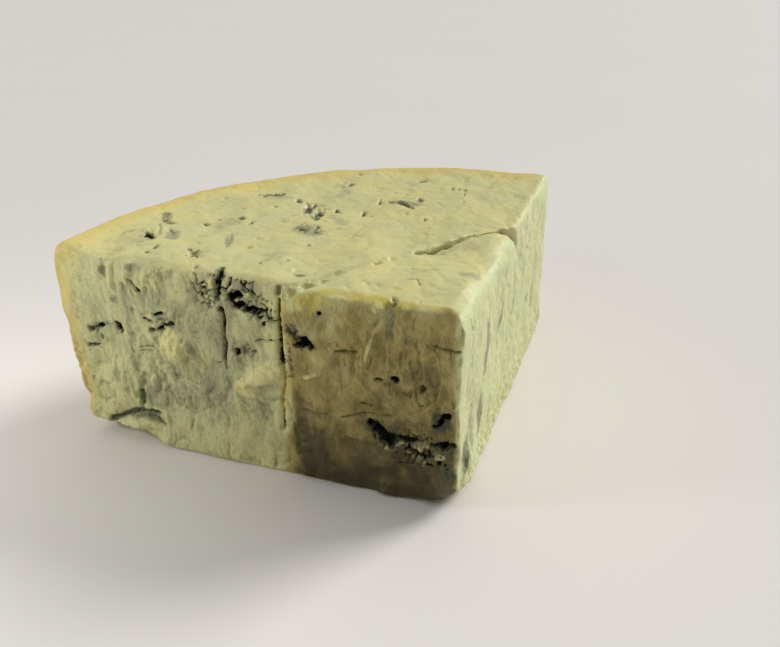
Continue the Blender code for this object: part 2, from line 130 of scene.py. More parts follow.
# Holes and mould pockets by face and lining: depth and oval
POCKETS = {
    ("left", "black"): [
        (5.5, 76.4, 68.2, 3.2, 1.6, -14), (5, 77, 65.8, 1.7, 1.1, 20), (7, 70.2, 64, 3.4, 1.2, -4),
        (7, 75.2, 65.4, 2.8, 1.4, -24), (8, 82.5, 73.4, 1.5, 6.6, 3), (6, 82.6, 62.4, 1.3, 1.2),
        (7, 51.1, 55.6, 3.2, 2.5, 12), (4, 53.5, 54, 2.6, 0.7, 6), (5, 103.8, 54.1, 1.2, 0.9, 15),
        (3.8, 105.4, 53.2, 2, 1, 10), (3.4, 108.6, 51.8, 1.9, 1, -26), (2.4, 113.6, 53.8, 2.2, 0.5, 16),
        (2.6, 109.2, 56.9, 2.2, 0.5, -20), (3, 115.4, 65.8, 1.3, 0.6, 36), (5, 128.1, 49.3, 1.5, 2),
        (2.4, 136.6, 48.2, 1.6, 0.8, -20), (2.6, 77.7, 47.6, 0.9, 1.3), (3.6, 21, 47, 1.5, 1, 25),
        (2.6, 45.7, 66.4, 1.2, 0.7, -35), (4.6, 27.2, 26.9, 4.2, 2.2, 24), (4.4, 24, 24.4, 3, 2.6, 20),
        (3.6, 22.6, 21.6, 1.2, 1.6), (2.6, 28.8, 24, 0.6, 1.2), (3.4, 19.6, 25.2, 2.6, 0.9),
        (3.2, 14.4, 24.6, 4.6, 0.9, -4), (4.2, 9.9, 21.6, 0.7, 1.7), (2.6, 10.6, 16.7, 1.1, 0.7),
        (2.4, 6.6, 18, 0.9, 1.4, 20), (2.6, 16.4, 21.2, 0.8, 1.6, -20), (4.4, 4.6, 25, 1.8, 1.5),
        (2.4, 4.3, 18.2, 0.8, 0.9), (4, 4.8, 36, 1.7, 1.1, -10), (3.4, 6.4, 33.4, 0.9, 1.8, 16),
        (2.2, 8.4, 31.6, 0.9, 0.7), (3, 66.2, 59.6, 0.8, 0.7),
    ],
    ("left", "mould"): [
        (3, 112, 50.6, 1.5, 0.9, -6), (3.2, 140.4, 46.6, 3.2, 1.7, -8), (2.2, 141.2, 39.9, 2.6, 0.9, -12),
        (2.4, 26.2, 46.4, 2, 0.7, -6), (2.8, 122.3, 21.5, 1.7, 3.6, 12),
    ],
    ("left", "blue"): [
        (1.4, 136.6, 43.2, 0.8, 1.3), (2.2, 75.2, 48.6, 0.6, 1.5), (2.2, 71.7, 48.2, 1, 0.7),
        (1.6, 86.3, 41.8, 1.5, 0.4, -8),
    ],
    ("left", "amber"): [(2.4, 11.7, 45.4, 1.1, 1.9, 8)],
    ("left", "veil"): [(0.7, 128.8, 70.6, 1.6, 2)],
    ("top", "black"): [
        (7.5, 82.5, 1, 1.7, 3.4, -10), (4, 81, 65.8, 1, 1.7, -30), (4, 74.5, 58, 1.4, 2.2, -20),
        (2.6, 103.6, 77.8, 1.4, 1.2), (6, 123.6, 20.6, 1.4, 3.3, -48), (3.6, 110.4, 46, 0.9, 2.3, -35),
    ],
    ("top", "olive"): [
        (2.2, 21.7, 1, 1.4, 3, -8), (2, 61, 73.6, 1, 3, -10), (1.4, 59.4, 88, 0.8, 2.8, -20),
        (2, 51.8, 120.6, 2.2, 3.8, -15), (1.6, 35, 72.4, 0.9, 1.3), (1.4, 124.6, 34.8, 2.4, 2),
        (1.8, 96.4, 65.8, 1, 1.5), (1.4, 84.8, 25, 1.3, 1), (2, 57.6, 9.8, 2, 0.9, -16),
        (1.2, 43.8, 19.2, 0.8, 1.1),
    ],
    ("top", "blue"): [
        (0.8, 92.6, 3.4, 1, 1.6, -20), (1.4, 43.8, 94, 1.1, 3.2, -22), (1.6, 130.8, 40.4, 2.3, 6.2, -35),
        (2, 91, 76.2, 1.1, 1.8, -30), (1.6, 70.2, 50, 0.9, 1.6), (1.2, 101.6, 14.4, 1.6, 0.7, 40),
        (1.4, 97.2, 9.2, 1.4, 1.2), (1.4, 114.6, 11.8, 0.9, 1.8, -20), (0.8, 65.8, 34, 0.8, 1.4),
        (0.8, 66, 18, 0.7, 1.1), (0.8, 73.2, 12.4, 0.8, 1),
    ],
    ("top", "mould"): [
        (2.8, 83.4, 69.6, 2.4, 6.4, -30), (1.8, 83.6, 75.4, 0.9, 2, -10),
        (2.6, 76.4, 63.4, 2.6, 6.4, -27), (2, 71.3, 71, 1, 1.9, -20), (2, 105.2, 79.6, 5.4, 3.8),
        (2.4, 79.4, 104, 1.7, 3.4, -10), (2, 50, 87.4, 6, 1.5, 28), (1.4, 54, 88, 2.4, 1.6),
        (2.2, 129.6, 38.4, 1.4, 2.4, -10), (2, 110.8, 38, 1.5, 1.2), (1.8, 103.2, 50.4, 1.5, 1.8),
        (2, 96.2, 45.6, 1.2, 2.1, -20), (1.6, 74.6, 46.4, 2, 1.6), (1.4, 68.8, 45.6, 1.3, 1),
        (1.5, 98.4, 12.6, 1.4, 3, -20), (1.2, 115.2, 7.4, 1, 1.2),
    ],
    ("top", "amber"): [(1, 37, 25.6, 1.8, 2.4, 30), (1, 34, 32.6, 1.3, 2, 20)],
    ("right", "blue"): [
        (1.4, 28, 44.5, 1.4, 1.2), (2.4, 110, 32, 1.2, 2.2), (1, 9.5, 63.5, 0.8, 0.9),
        (1, 12.5, 60.5, 0.7, 1.1), (0.9, 7, 66.5, 0.6, 0.7), (1.7, 7, 15, 1.6, 2.4),
    ],
    ("right", "veil"): [(1, 102, 58, 2, 1.1)],
}

# Cracks, channels and pressed lines by face and lining: half width, depth, the line's corners
GROOVES = {
    ("left", "black"): [
        (0.85, 4.6, (82.3, 61), (83, 52), (83.2, 44)), (0.7, 4, (83.3, 77), (83, 66)),
        # The next row is painted shade in the slit's gap, as black as a hole
        (0.7, 3.4, (60, 69), (60.6, 58), (61, 46)),
        (0.45, 4.2, (67, 66.6), (65.4, 65.8), (65, 62.6), (63.4, 61.4), (60.4, 61.3)),
        (0.3, 2, (70.4, 52.7), (67, 53.8), (61.4, 54.2)),
        (0.4, 2.2, (118.6, 69.5), (117, 67.2), (115, 65.6)), (0.35, 1.6, (21, 14.6), (15, 16), (9, 16.2)),
        (1, 3, (30.5, 29.4), (24, 26), (17, 24.4), (9, 24.6), (2, 25.4)),
        (0.8, 2.6, (18, 21), (12, 19.6), (6, 20.6)), (0.4, 2.4, (89.4, 70.6), (87.4, 71.8), (86.4, 71)),
        (0.4, 2.4, (90, 67.4), (88.4, 65.6), (87, 65.6)),
        (0.4, 2, (74.2, 75.4), (73.4, 73), (71.4, 71.4), (69.6, 70.6)),
    ],
    ("left", "blue"): [
        (0.4, 1.8, (83.2, 44), (83.4, 40)), (0.5, 2.2, (57.2, 61), (55.6, 56.4), (53.8, 54.4)),
        (0.4, 1.2, (33, 36.2), (29.6, 35.6)),
        # The row from (130, 12) is mould with painted shade under the gouge's lip
        (1.3, 2.2, (130, 12), (123, 12.3), (119, 11.8), (115.4, 9.8)), (0.3, 0.8, (119, 43), (113, 44.2)),
        (0.3, 0.6, (119.6, 41.4), (114, 41.8)), (0.3, 1.4, (80, 70.8), (76, 70), (73, 70.8)),
    ],
    ("left", "veil"): [
        (1.4, 0.35, (83.4, 40), (82.4, 28)), (1.1, 0.45, (121.4, 67), (121.9, 58), (122.2, 50)),
        (1.1, 0.6, (121.2, 48), (122.4, 43), (122.9, 36), (122.2, 32)),
        (1.3, 1.1, (119.4, 31.5), (121, 27), (122.6, 22), (123.4, 15.5)),
        (1.9, 2, (22.4, 78), (22.6, 70), (23.2, 62)), (0.5, 0.6, (130, 49.6), (135, 48.7)),
        (0.4, 0.8, (106, 32.8), (99, 32.2), (95, 31)),
    ],
    ("left", "olive"): [
        # The rows at 60 and at 58 along the slit are painted shade in its gap and in the crease below it
        (1, 1.4, (60.2, 78), (60.4, 71)), (1.1, 2, (21.9, 76.5), (22, 71.5)),
        (0.9, 1.6, (58.8, 22), (58, 10)), (0.6, 1.5, (40.6, 54), (37, 54.4), (33.4, 54.7)),
    ],
    ("left", "amber"): [
        (0.4, 0.8, (55, 28.6), (50, 29.3), (45, 29.6)),
        (0.4, 1, (40, 29.6), (34, 31.6), (30, 32.4), (22, 32.8)),
    ],
    ("left", "brown"): [(0.4, 0.7, (8, 60.2), (0, 60.2))],
    ("left", "mould"): [
        # Mould with painted shade under the overhanging lip of the gouge at the foot
        (1.3, 2.4, (140, 7.6), (134, 10.6), (129, 13), (124, 14.6), (117, 14.9)),
    ],
    # Amber painted shade along the closed slit on the top
    ("top", "painted_seam_shade"): [(0.6, 0.7, (57, 2.7), (45, 18.8), (33, 34.8), (23, 48.2))],
    ("top", "veil"): [
        (0.7, 0.5, (127.6, 32), (124, 27.6), (121, 22.6)), (0.8, 0.6, (120.6, 29), (116.8, 25.8)),
        (0.7, 0.5, (96.8, 33), (94.4, 28.6), (92.6, 21.8)), (0.4, 0.3, (25, 27), (21, 24), (18, 26)),
        (0.4, 0.3, (22.5, 16), (19.5, 17.2), (17.5, 14)), (0.4, 0.3, (36, 12), (33.6, 11)),
    ],
    ("top", "blue"): [
        (0.5, 1, (103.6, 15.4), (101, 13)), (0.5, 0.3, (36.5, 117.6), (35.2, 113)),
        (0.5, 0.3, (33.4, 118), (32.6, 113.6)), (0.5, 0.3, (30.6, 116), (29.4, 113.2)),
        (0.4, 0.3, (28.8, 109.6), (28.2, 106)),
    ],
}

# Soft swellings of the paste by face: height, oval
SWELLINGS = {
    "left": [
        (2.2, 105, 45.2, 4.6, 5.6, 10), (2, 101.6, 41, 2, 3.6), (1.4, 98.6, 46, 1.6, 3),
        (1.4, 108, 70, 3.5, 4.5), (1.3, 111.5, 71, 1.6, 4.5, 20), (1.2, 126, 70, 1.8, 6.5, 6),
        (0.8, 132, 71, 2.2, 4.5), (2.3, 70, 39.6, 10, 4.2, -26), (1.1, 77, 33.4, 6.5, 5, -10),
        (1, 40, 70, 16, 4.5), (0.9, 53, 71, 4.5, 4.5), (2, 29.4, 56, 1.3, 5.6, 14),
        (1.2, 26.4, 63.6, 1.2, 4, 30), (1, 26.6, 72, 1.6, 5), (0.8, 18.4, 71, 1.8, 5.6),
        (0.9, 38, 40, 4, 9, 20), (1, 45, 50, 6, 5), (0.8, 50, 33, 7, 5), (1, 12, 57, 3.4, 4.6),
        (0.8, 20, 38, 5, 3.6), (1, 51, 43, 4.6, 0.9, -24), (1.3, 12.5, 22.8, 2, 1.9),
        (1, 27, 21.6, 1.1, 1.1), (1, 7.4, 21.6, 1.2, 1.9), (1.2, 113.2, 11.8, 1.1, 3.8),
        (1.6, 127, 8.4, 11, 2.2, -6), (0.8, 16, 45, 0.7, 3.6, 24), (0.8, 13, 50, 0.7, 3, 20),
        (0.8, 6.6, 54, 0.7, 4.6, -16), (0.8, 3.4, 47, 0.7, 4.6, -12), (0.8, 10, 38.6, 0.7, 4.6, 44),
        (0.8, 97, 54, 2.6, 3.4), (1.1, 97, 71, 3.6, 4), (1, 104, 75, 3.4, 3.4),
        (1.2, 118.6, 72, 1.8, 5, 10), (1, 80, 66.6, 1.1, 0.9), (0.9, 73.4, 66.4, 3.4, 0.8, -10),
        (0.9, 69, 66.4, 1, 0.9),
    ],
    "top": [
        (0.7, 61.6, 12.4, 0.9, 1.5), (0.4, 106, 76, 5, 1, 20),
    ],
}

# Stains by face and tint: strength, oval
STAINS = {
    ("left", "veil"): [
        (0.9, 51, 60.6, 6.5, 4.6, -30), (0.8, 43.4, 67, 6.5, 3, -30), (1, 74, 71, 11, 4.5),
        (0.6, 73, 58, 10, 7), (0.85, 90, 66, 9, 9), (1, 137.4, 47.4, 1.8, 1.2), (1, 127, 60.5, 2.4, 2.6),
        (0.9, 145.6, 51, 1.6, 1.4), (1, 129, 71, 2.2, 2.6), (1, 115, 26, 3.2, 5), (0.85, 104, 26, 13, 8),
        (0.8, 117, 24, 9, 9), (0.9, 116, 74, 3.5, 2.5), (0.7, 111, 62, 8, 6), (0.7, 122, 52, 3.5, 20),
        (1, 22.4, 66, 2.2, 9), (0.7, 24, 41, 6.5, 6.5), (0.8, 76, 49, 8, 5), (0.5, 70, 22, 10, 20),
        # The last, broad row is painted shade over the middle of the left cut
        (0.72, 90, 42, 32, 44),
    ],
    ("left", "blue"): [
        (0.5, 83, 36, 1.9, 8), (0.3, 122.6, 40, 2.2, 26, 2), (0.28, 89, 32, 5, 8),
        (0.5, 75, 48.6, 5, 2.4), (0.36, 109, 53, 7, 3.6, -18), (0.3, 140, 43.5, 5, 4.5),
        # (119, 12.6) is mould with painted shade under the gouge's lip
        (0.42, 134, 49, 7, 1.6), (0.7, 119, 12.6, 6.4, 2, 10), (0.42, 132, 29, 2.4, 3),
        (0.36, 131, 14, 2.6, 2.2), (0.4, 87, 70, 5, 6), (0.34, 74, 68, 8, 5), (0.4, 65, 61, 4, 4),
        (0.6, 55.5, 58.6, 3, 3.4), (0.5, 16, 60.2, 3.4, 1.8), (0.85, 24, 25.4, 8, 4.4, 20),
        (0.6, 9, 22, 10, 6.5), (0.85, 4, 14, 4, 7), (0.9, 6.4, 33, 4, 5.4), (0.7, 60, 73.6, 1.3, 2.2),
        (0.55, 20, 7, 11, 1.6, -4), (0.5, 24, 45.6, 5, 1.8), (0.4, 108, 71.6, 2, 2), (0.3, 14, 50, 11, 9),
    ],
    ("left", "olive"): [(0.45, 5, 71, 5, 4.5), (0.3, 4, 62, 6, 5), (0.9, 21.6, 76, 2.6, 4)],
    ("left", "amber"): [
        # (99.6, 41.6) is painted shadow beside the lump at (105, 45); (58, 68) is painted shade along the
        # slit's gap
        (0.5, 99.6, 41.6, 1.4, 6), (0.5, 33, 47, 1.6, 4.4, -10), (0.4, 33, 58.5, 2.4, 2),
        (0.6, 58, 68, 1.2, 9), (0.86, 48, 70.5, 12, 5.4, -6), (0.95, 22, 74, 20, 4.2),
    ],
    ("left", "cream"): [
        (0.9, 105.4, 45, 5.6, 7, 10), (0.5, 95.6, 38.6, 2.6, 3.4), (0.5, 142, 26, 5, 12),
        (0.4, 106, 9, 14, 4), (0.4, 133, 64, 2.4, 8), (0.4, 112, 39, 5, 2.4), (0.4, 136, 23, 6, 4),
        (0.95, 70, 40.2, 9.5, 3.8, -26), (0.7, 76, 33.6, 7, 5, -20), (0.55, 12.8, 22.8, 2.6, 2),
        (0.36, 27, 21.4, 1.1, 1.1), (0.4, 7.4, 21.4, 1.4, 1.9), (0.36, 17, 19.6, 2.4, 1.6),
        (0.8, 113.2, 11.8, 1.1, 4), (0.35, 44.6, 65, 1.2, 0.6, -30), (0.36, 18, 32.4, 7, 1.5),
        (0.66, 29.4, 56, 1, 5, 14), (0.6, 51, 43.2, 4.6, 0.8, -24), (0.6, 59.2, 50, 0.8, 11, -4),
        (0.4, 110.4, 71.6, 1.2, 4.2, 20), (0.4, 126, 70, 1.2, 6.5, 6),
    ],
    ("left", "brown"): [
        (0.56, 4, 74, 6, 5), (0.66, 12, 49, 12, 9), (0.56, 8, 62, 9, 6), (0.74, 15, 42.5, 9, 6),
    ],
    ("top", "amber"): [
        (0.86, 27, 1.5, 27, 3.8), (0.5, 53, 5, 5, 6), (0.5, 37, 27, 4, 6, 30), (0.5, 3, 23, 2.5, 3),
    ],
    ("top", "brown"): [(0.4, 3, 1, 5, 2.4)],
    ("top", "blue"): [
        (0.42, 84, 70, 2.6, 6.6, -28), (0.42, 77, 63.5, 2.6, 6.2, -28), (0.42, 106, 80, 6, 3.6),
        (0.42, 79.2, 104, 3.4, 4.6), (0.3, 84, 111, 3, 4), (0.42, 49, 88, 6.4, 2.6, -8),
        (0.42, 44, 94, 2, 3), (0.42, 131, 41, 2.6, 5.6, -28), (0.34, 124.6, 34.4, 2.4, 2.2),
        (0.42, 124, 20, 3.8, 2.8), (0.42, 97.6, 12, 4, 4.4, -28), (0.42, 72, 47.4, 8.4, 4.4),
        (0.42, 110.4, 46, 1.8, 2.6), (0.4, 114, 13, 1.8, 3.8), (0.3, 33, 115, 6, 2.8),
        (0.4, 134.5, 26.5, 2, 2.4), (0.36, 126, 6, 4, 4),
    ],
    ("top", "veil"): [
        (0.7, 66, 62, 6, 9, -28), (0.7, 104, 78, 10, 6), (1, 94.4, 27, 1.8, 7, -26),
        (0.9, 116, 23, 3, 8, -34), (0.7, 105, 44, 6, 10, -28), (0.7, 72, 47, 9, 7),
        (0.8, 47, 89, 11, 6.5), (0.6, 72, 20, 7, 6), (0.6, 22, 24, 8, 6), (0.8, 5, 28, 5, 4),
        (0.6, 77, 91, 4, 6), (0.6, 128, 16, 9, 12),
    ],
    ("top", "olive"): [
        (0.8, 61, 74, 1.3, 3, 10), (0.7, 51.8, 121, 2, 3.6), (0.7, 57.6, 10, 2.6, 1.3, -16),
    ],
    ("top", "cream"): [(0.5, 61.6, 12.4, 1, 1.6), (0.42, 24, 24, 26, 26)],
    ("right", "veil"): [
        (0.4, 9, 50, 5.5, 34), (1, 27, 20, 4.5, 13, -6), (0.9, 31, 48, 3.4, 18), (0.5, 47, 66, 4, 10),
        (0.7, 78, 50, 6, 14), (0.5, 98, 56, 4, 18), (0.7, 122, 36, 5, 22), (0.4, 62, 22, 5, 14),
        (0.6, 88, 22, 5, 12), (0.9, 55, 48, 3, 14, -10), (0.7, 16, 24, 7, 14),
    ],
    ("right", "blue"): [
        (0.46, 27, 17, 3.6, 11, -6), (0.32, 9.6, 63, 3.6, 4.6), (0.4, 28, 44.5, 2.4, 2.2),
        (0.5, 110, 32, 2.2, 3.6), (0.72, 7, 17, 5, 9), (0.34, 33, 46, 2, 12, -8),
    ],
    ("right", "cream"): [(0.4, 20, 56, 5, 9), (0.4, 42, 34, 4, 9), (0.4, 66, 52, 5, 8)],
    ("right", "amber"): [(0.3, 33, 68, 5, 4)],
}

# Zones where the paste is broken into crumbs, by face and lining: crumb size, crack depth, oval
CRUMB_ZONES = {
    ("left", "black"): [
        (2.4, 2.6, 87.8, 69.5, 4.8, 7.6), (3.2, 1.8, 75, 70, 8.4, 5.4), (2.6, 1.6, 66.5, 64, 5.4, 4.4),
        (2, 1.4, 55.5, 58, 3, 3.6), (2.4, 2.4, 13, 21.6, 14, 5.6),
    ],
    ("left", "olive"): [(1.5, 1.4, 58.7, 50, 1.8, 12)],
    ("left", "blue"): [(3.4, 0.9, 109, 54, 6.4, 4), (2.2, 0.9, 75, 48.4, 4.4, 2.6)],
    ("top", "blue"): [
        (2, 0.9, 80, 66, 5.6, 8.4), (1.8, 0.8, 105, 79.4, 5, 3.6), (2.2, 0.9, 131, 41, 3, 5.2),
        (2.2, 0.8, 97.6, 11, 3.4, 4.2), (2.2, 0.7, 72, 47, 4.8, 3.8), (2.2, 0.8, 48, 88, 6.4, 2.4),
    ],
}


# --- the wedge's shape, as in its solid -------------------------------------------------


def ramp(low, high, value):
    """A smooth rise from 0 at low to 1 at high."""
    share = np.clip((value - low) / (high - low), 0, 1)
    return share * share * (3 - 2 * share)


def wedge_lengths(points):
    from_point = points - POINT
    return from_point @ LEFT_DIR, from_point @ RIGHT_DIR


def top_height(along_left, along_right):
    return HEIGHT_AT_POINT + TOP_RISE_LEFT * along_left + TOP_RISE_RIGHT * along_right


def below_top(points):
    return top_height(*wedge_lengths(points)) - points[:, 2]


def rind_distance(points):
    from_centre = points - WHEEL_CENTRE
    return WHEEL_RADIUS - np.hypot(from_centre[:, 0], from_centre[:, 1])


def sunk(points, drop):
    return points - drop[:, None] * UP


def new_object(name, data):
    made = bpy.data.objects.new(name, data)
    bpy.context.scene.collection.objects.link(made)
    return made


def mesh_from(shape):
    mesh = bpy.data.meshes.new("shape")
    shape.to_mesh(mesh)
    shape.free()
    return mesh


def add_modifier(target, kind, **settings):
    added = target.modifiers.new(kind.lower(), kind)
    for name, value in settings.items():
        setattr(added, name, value)


def rounded_corner(radius, level, rounding, first_turn):
    """A quarter circle about this spot as (radius, height), turning downwards."""
    turns = [math.radians(first_turn - CORNER_STEP_DEGREES * step) for step in range(7)]
    return [(radius + rounding * math.cos(turn), level + rounding * math.sin(turn))
            for turn in turns]


def wheel_profile():
    """Half section of the wheel as (radius, height), from the top's middle down and in."""
    height = HEIGHT_AT_POINT
    widest = SIDE_BULGE_HEIGHT * height

    def side_radius(level):
        return WHEEL_RADIUS - SIDE_TAPER * ((level - widest) / widest) ** 2

    rim_level = height - RIM_ROUND
    outline = [(0, height)]
    outline += rounded_corner(side_radius(rim_level) - RIM_ROUND, rim_level, RIM_ROUND, 90)
    for share in (0.15, 0.3, 0.45, 0.6, 0.75, 0.9):
        level = rim_level + share * (BASE_ROUND + RIM_ROUND - height)
        outline.append((side_radius(level), level))
    outline += rounded_corner(side_radius(BASE_ROUND) - BASE_ROUND, BASE_ROUND, BASE_ROUND, 0)
    outline.append((0, 0))
    return outline


def make_wheel():
    mesh = bpy.data.meshes.new("wheel")
    corners = [(radius, 0, level) for radius, level in wheel_profile()]
    edges = [(step, step + 1) for step in range(len(corners) - 1)]
    mesh.from_pydata(corners, edges, [])
    wheel = new_object("wheel", mesh)
    wheel.location = WHEEL_CENTRE
    add_modifier(wheel, "SCREW", axis="Z", angle=2 * math.pi, steps=WHEEL_STEPS,
                 render_steps=WHEEL_STEPS, use_merge_vertices=True, merge_threshold=0.05 * MM)
    return wheel


def make_quarter_box():
    """A box with one upright edge on the wedge's point, whose sides are the two cuts."""
    size = 0.4
    shape = bmesh.new()
    bmesh.ops.create_cube(shape, size=size)
    bmesh.ops.translate(shape, vec=(size / 2, size / 2, 0), verts=shape.verts)
    bmesh.ops.rotate(shape, cent=(0, 0, 0), matrix=Matrix.Rotation(math.pi / 4, 3, "Z"),
                     verts=shape.verts)
    box = new_object("quarter_box", mesh_from(shape))
    box.location = POINT
    return box


def evaluated_mesh(source):
    """The object's mesh after its modifiers, with the object's place worked into it."""
    bpy.context.view_layer.update()
    graph = bpy.context.evaluated_depsgraph_get()
    mesh = bpy.data.meshes.new_from_object(source.evaluated_get(graph))
    mesh.transform(source.matrix_world)
    return mesh


def cut_wedge():
    """The plain wedge as an even, finely divided mesh with softened edges."""
    wheel = make_wheel()
    quarter_box = make_quarter_box()
    add_modifier(wheel, "BOOLEAN", operation="INTERSECT", solver="EXACT", object=quarter_box)
    add_modifier(wheel, "REMESH", mode="VOXEL", voxel_size=VOXEL)
    add_modifier(wheel, "SMOOTH", factor=0.5, iterations=SOFTEN_STEPS)
    mesh = evaluated_mesh(wheel)
    bpy.data.objects.remove(wheel)
    bpy.data.objects.remove(quarter_box)
    return mesh


def read_vectors(items, name):
    values = np.empty(len(items) * 3, dtype=np.float32)
    items.foreach_get(name, values)
    return values.reshape(-1, 3).astype(float)


def mesh_points(mesh):
    return read_vectors(mesh.vertices, "co")


def set_mesh_points(mesh, points):
    mesh.vertices.foreach_set("co", points.astype(np.float32).ravel())
    mesh.update()


def tilt_top(points):
    rim = RIM_LIFT * ramp(16 * MM, 4 * MM, rind_distance(points))
    stretched = points.copy()
    stretched[:, 2] *= (top_height(*wedge_lengths(points)) + rim) / HEIGHT_AT_POINT
    return stretched


def slit_side(points):
    """Signed distance from the slit's middle surface; it is positive on the point's side."""
    along_left, along_right = wedge_lengths(points)
    depth = np.clip(HEIGHT_AT_POINT - points[:, 2], 0, None)
    bend = SLIT_BEND * depth ** 2
    length = math.hypot(SLIT_ON_LEFT, SLIT_ON_RIGHT)
    across = SLIT_ON_LEFT * SLIT_ON_RIGHT - SLIT_ON_RIGHT * along_left - SLIT_ON_LEFT * along_right
    return across / length + bend * SLIT_ON_RIGHT / length


def slit_floor(along_right):
    share = along_right / SLIT_ON_RIGHT
    return SLIT_FLOOR_LEFT + (SLIT_FLOOR_RIGHT - SLIT_FLOOR_LEFT) * share


def push_point_aside(points):
    """Lean the point's side away from the slit, from its floor up."""
    floor = slit_floor(wedge_lengths(points)[1])
    top = top_height(*wedge_lengths(points))
    lift = np.clip((points[:, 2] - floor) / (top - floor), 0, 1)
    share = ramp(-0.4 * MM, 0.4 * MM, slit_side(points)) * lift
    return points - (POINT_LEAN * share)[:, None] * SLIT_OUTWARD


def round_slit_lip(points):
    """Round the slit's lip on the point's side, with a dip in it and a fallen end."""
    along_right = wedge_lengths(points)[1]
    side = slit_side(points)
    near_top = ramp(25 * MM, 0, below_top(points)) * ramp(-0.5 * MM, 0, side)

    radius = LIP_ROUND * ramp(LIP_REACH, 2 * MM, along_right)
    inside = np.clip(radius - np.maximum(side, 0), 0, None)
    corner = radius - np.sqrt(np.maximum(radius ** 2 - inside ** 2, 0))

    dip = SLIT_DIP * np.exp(-((along_right - SLIT_DIP_AT) / SLIT_DIP_WIDTH) ** 2)
    fallen_from = SLIT_ON_RIGHT - SLIT_END_LENGTH
    fallen_end = SLIT_END_DROP * ramp(fallen_from, SLIT_ON_RIGHT, along_right)
    sunken = (dip + fallen_end) * ramp(12 * MM, 0, side)
    return sunk(points, (corner + sunken) * near_top)


def round_top_edges(points):
    """Wear the top's edges round along both cuts, unevenly."""
    along_left, along_right = wedge_lengths(points)
    uneven = 1 + 0.28 * lattice_noise(points, 11 * MM, seed=211)
    on_point = ramp(-1 * MM, 1 * MM, slit_side(points))
    worn = ramp(85 * MM, 110 * MM, along_left)
    radii = ((along_right, LEFT_EDGE_ROUND_MM + LEFT_EDGE_WEAR_MM * np.maximum(on_point, worn)),
             (along_left, RIGHT_EDGE_ROUND_MM + RIGHT_EDGE_WEAR_MM * on_point))
    drop = np.zeros(len(points))
    for from_edge, radius in radii:
        radius = radius * uneven * MM
        inside = np.clip(radius - from_edge, 0, radius)
        drop = np.maximum(drop, radius - np.sqrt(radius ** 2 - 0.94 * inside ** 2))
    return sunk(points, drop * ramp(16 * MM, 0, below_top(points)))


def wear_base_edges(points):
    """Lift the foot under the point and at the heel of the left cut."""
    along_left, along_right = wedge_lengths(points)
    left_edge = (HEEL_WEAR * ramp(110 * MM, 128 * MM, along_left)
                 + 0.75 * POINT_WEAR * np.exp(-along_left / (11 * MM)))
    right_edge = POINT_WEAR * np.exp(-along_right / (12 * MM))
    lift = np.maximum(left_edge * ramp(EDGE_WEAR_WIDTH, 0, along_right) ** 1.5,
                      right_edge * ramp(EDGE_WEAR_WIDTH, 0, along_left) ** 1.5)
    lifted = points.copy()
    lifted[:, 2] = np.maximum(points[:, 2], lift + 0.25 * points[:, 2])
    return lifted


def level_base(points):
    levelled = points.copy()
    levelled[points[:, 2] < BASE_SNAP, 2] = 0
    return levelled


def make_slit_cutter():
    """The slit's own space: thin, curved, with torn walls, widest where it ends on the right."""
    shape = bmesh.new()
    bmesh.ops.create_cube(shape, size=1)
    bmesh.ops.subdivide_edges(shape, edges=shape.edges, cuts=SLIT_CUTS, use_grid_fill=True)
    mesh = mesh_from(shape)
    unit = mesh_points(mesh)
    along = unit[:, 0] + 0.5
    across = unit[:, 1] * 2
    up = unit[:, 2] + 0.5

    share = along * (1 + 2 * SLIT_RUN_PAST) - SLIT_RUN_PAST
    floor = slit_floor(share * SLIT_ON_RIGHT)
    closed = ramp(-SLIT_RUN_PAST, -0.05, share) * ramp(SEAM_END, SEAM_END - 0.1, share)
    seam_drop = 15.5 + 8 * ramp(0.35, 0, share)
    ceiling = HEIGHT_AT_POINT + (SLIT_RISE_MM - seam_drop * closed) * MM
    height = floor + (ceiling - floor) * up
    depth = np.clip(HEIGHT_AT_POINT - height, 0, None)
    left = SLIT_ON_LEFT * (1 - share) + SLIT_BEND * depth ** 2
    right = SLIT_ON_RIGHT * share
    points = POINT + left[:, None] * LEFT_DIR + right[:, None] * RIGHT_DIR
    points[:, 2] = height

    width = SLIT_WIDTH_LEFT + (SLIT_WIDTH_RIGHT - SLIT_WIDTH_LEFT) * ramp(0.5, 0.9, share)
    torn = (0.3 + 0.5 * ramp(0.5, 0.7, share)) * rough_noise(points, 4 * MM, seed=201)
    wander = 0.25 * lumps(points, 12 * MM, seed=5)
    shift = across * width / 2 + (wander + torn) * MM
    set_mesh_points(mesh, points + shift[:, None] * SLIT_OUTWARD)
    return new_object("slit_cutter", mesh)


# --- noise ------------------------------------------------------------------------------

NOISE_CELLS = 64
ROUGH_SPREAD = 1.2


def lumps(points, size, seed, waves=18):
    """Smooth random unevenness, mostly between -1 and 1: the same one as in the solid."""
    draw = np.random.default_rng(seed)
    directions = draw.normal(size=(waves, 3))
    directions /= np.linalg.norm(directions, axis=1)[:, None]
    directions *= math.pi / size * draw.uniform(0.7, 1.4, (waves, 1))
    phases = draw.uniform(0, 2 * math.pi, waves)
    return np.cos(points @ directions.T + phases).sum(axis=1) / math.sqrt(waves)


def lattice_noise(points, size, seed):
    """Value noise between -1 and 1: random values on a grid, smoothly filled in."""
    table = np.random.default_rng(seed).uniform(-1, 1, (NOISE_CELLS,) * 3)
    place = points / size
    cell = np.floor(place).astype(int)
    part = place - cell
    part = part * part * (3 - 2 * part)
    total = np.zeros(len(points))
    for corner in np.ndindex(2, 2, 2):
        at = (cell + corner) % NOISE_CELLS
        share = np.prod(np.where(corner, part, 1 - part), axis=1)
        total += share * table[at[:, 0], at[:, 1], at[:, 2]]
    return total


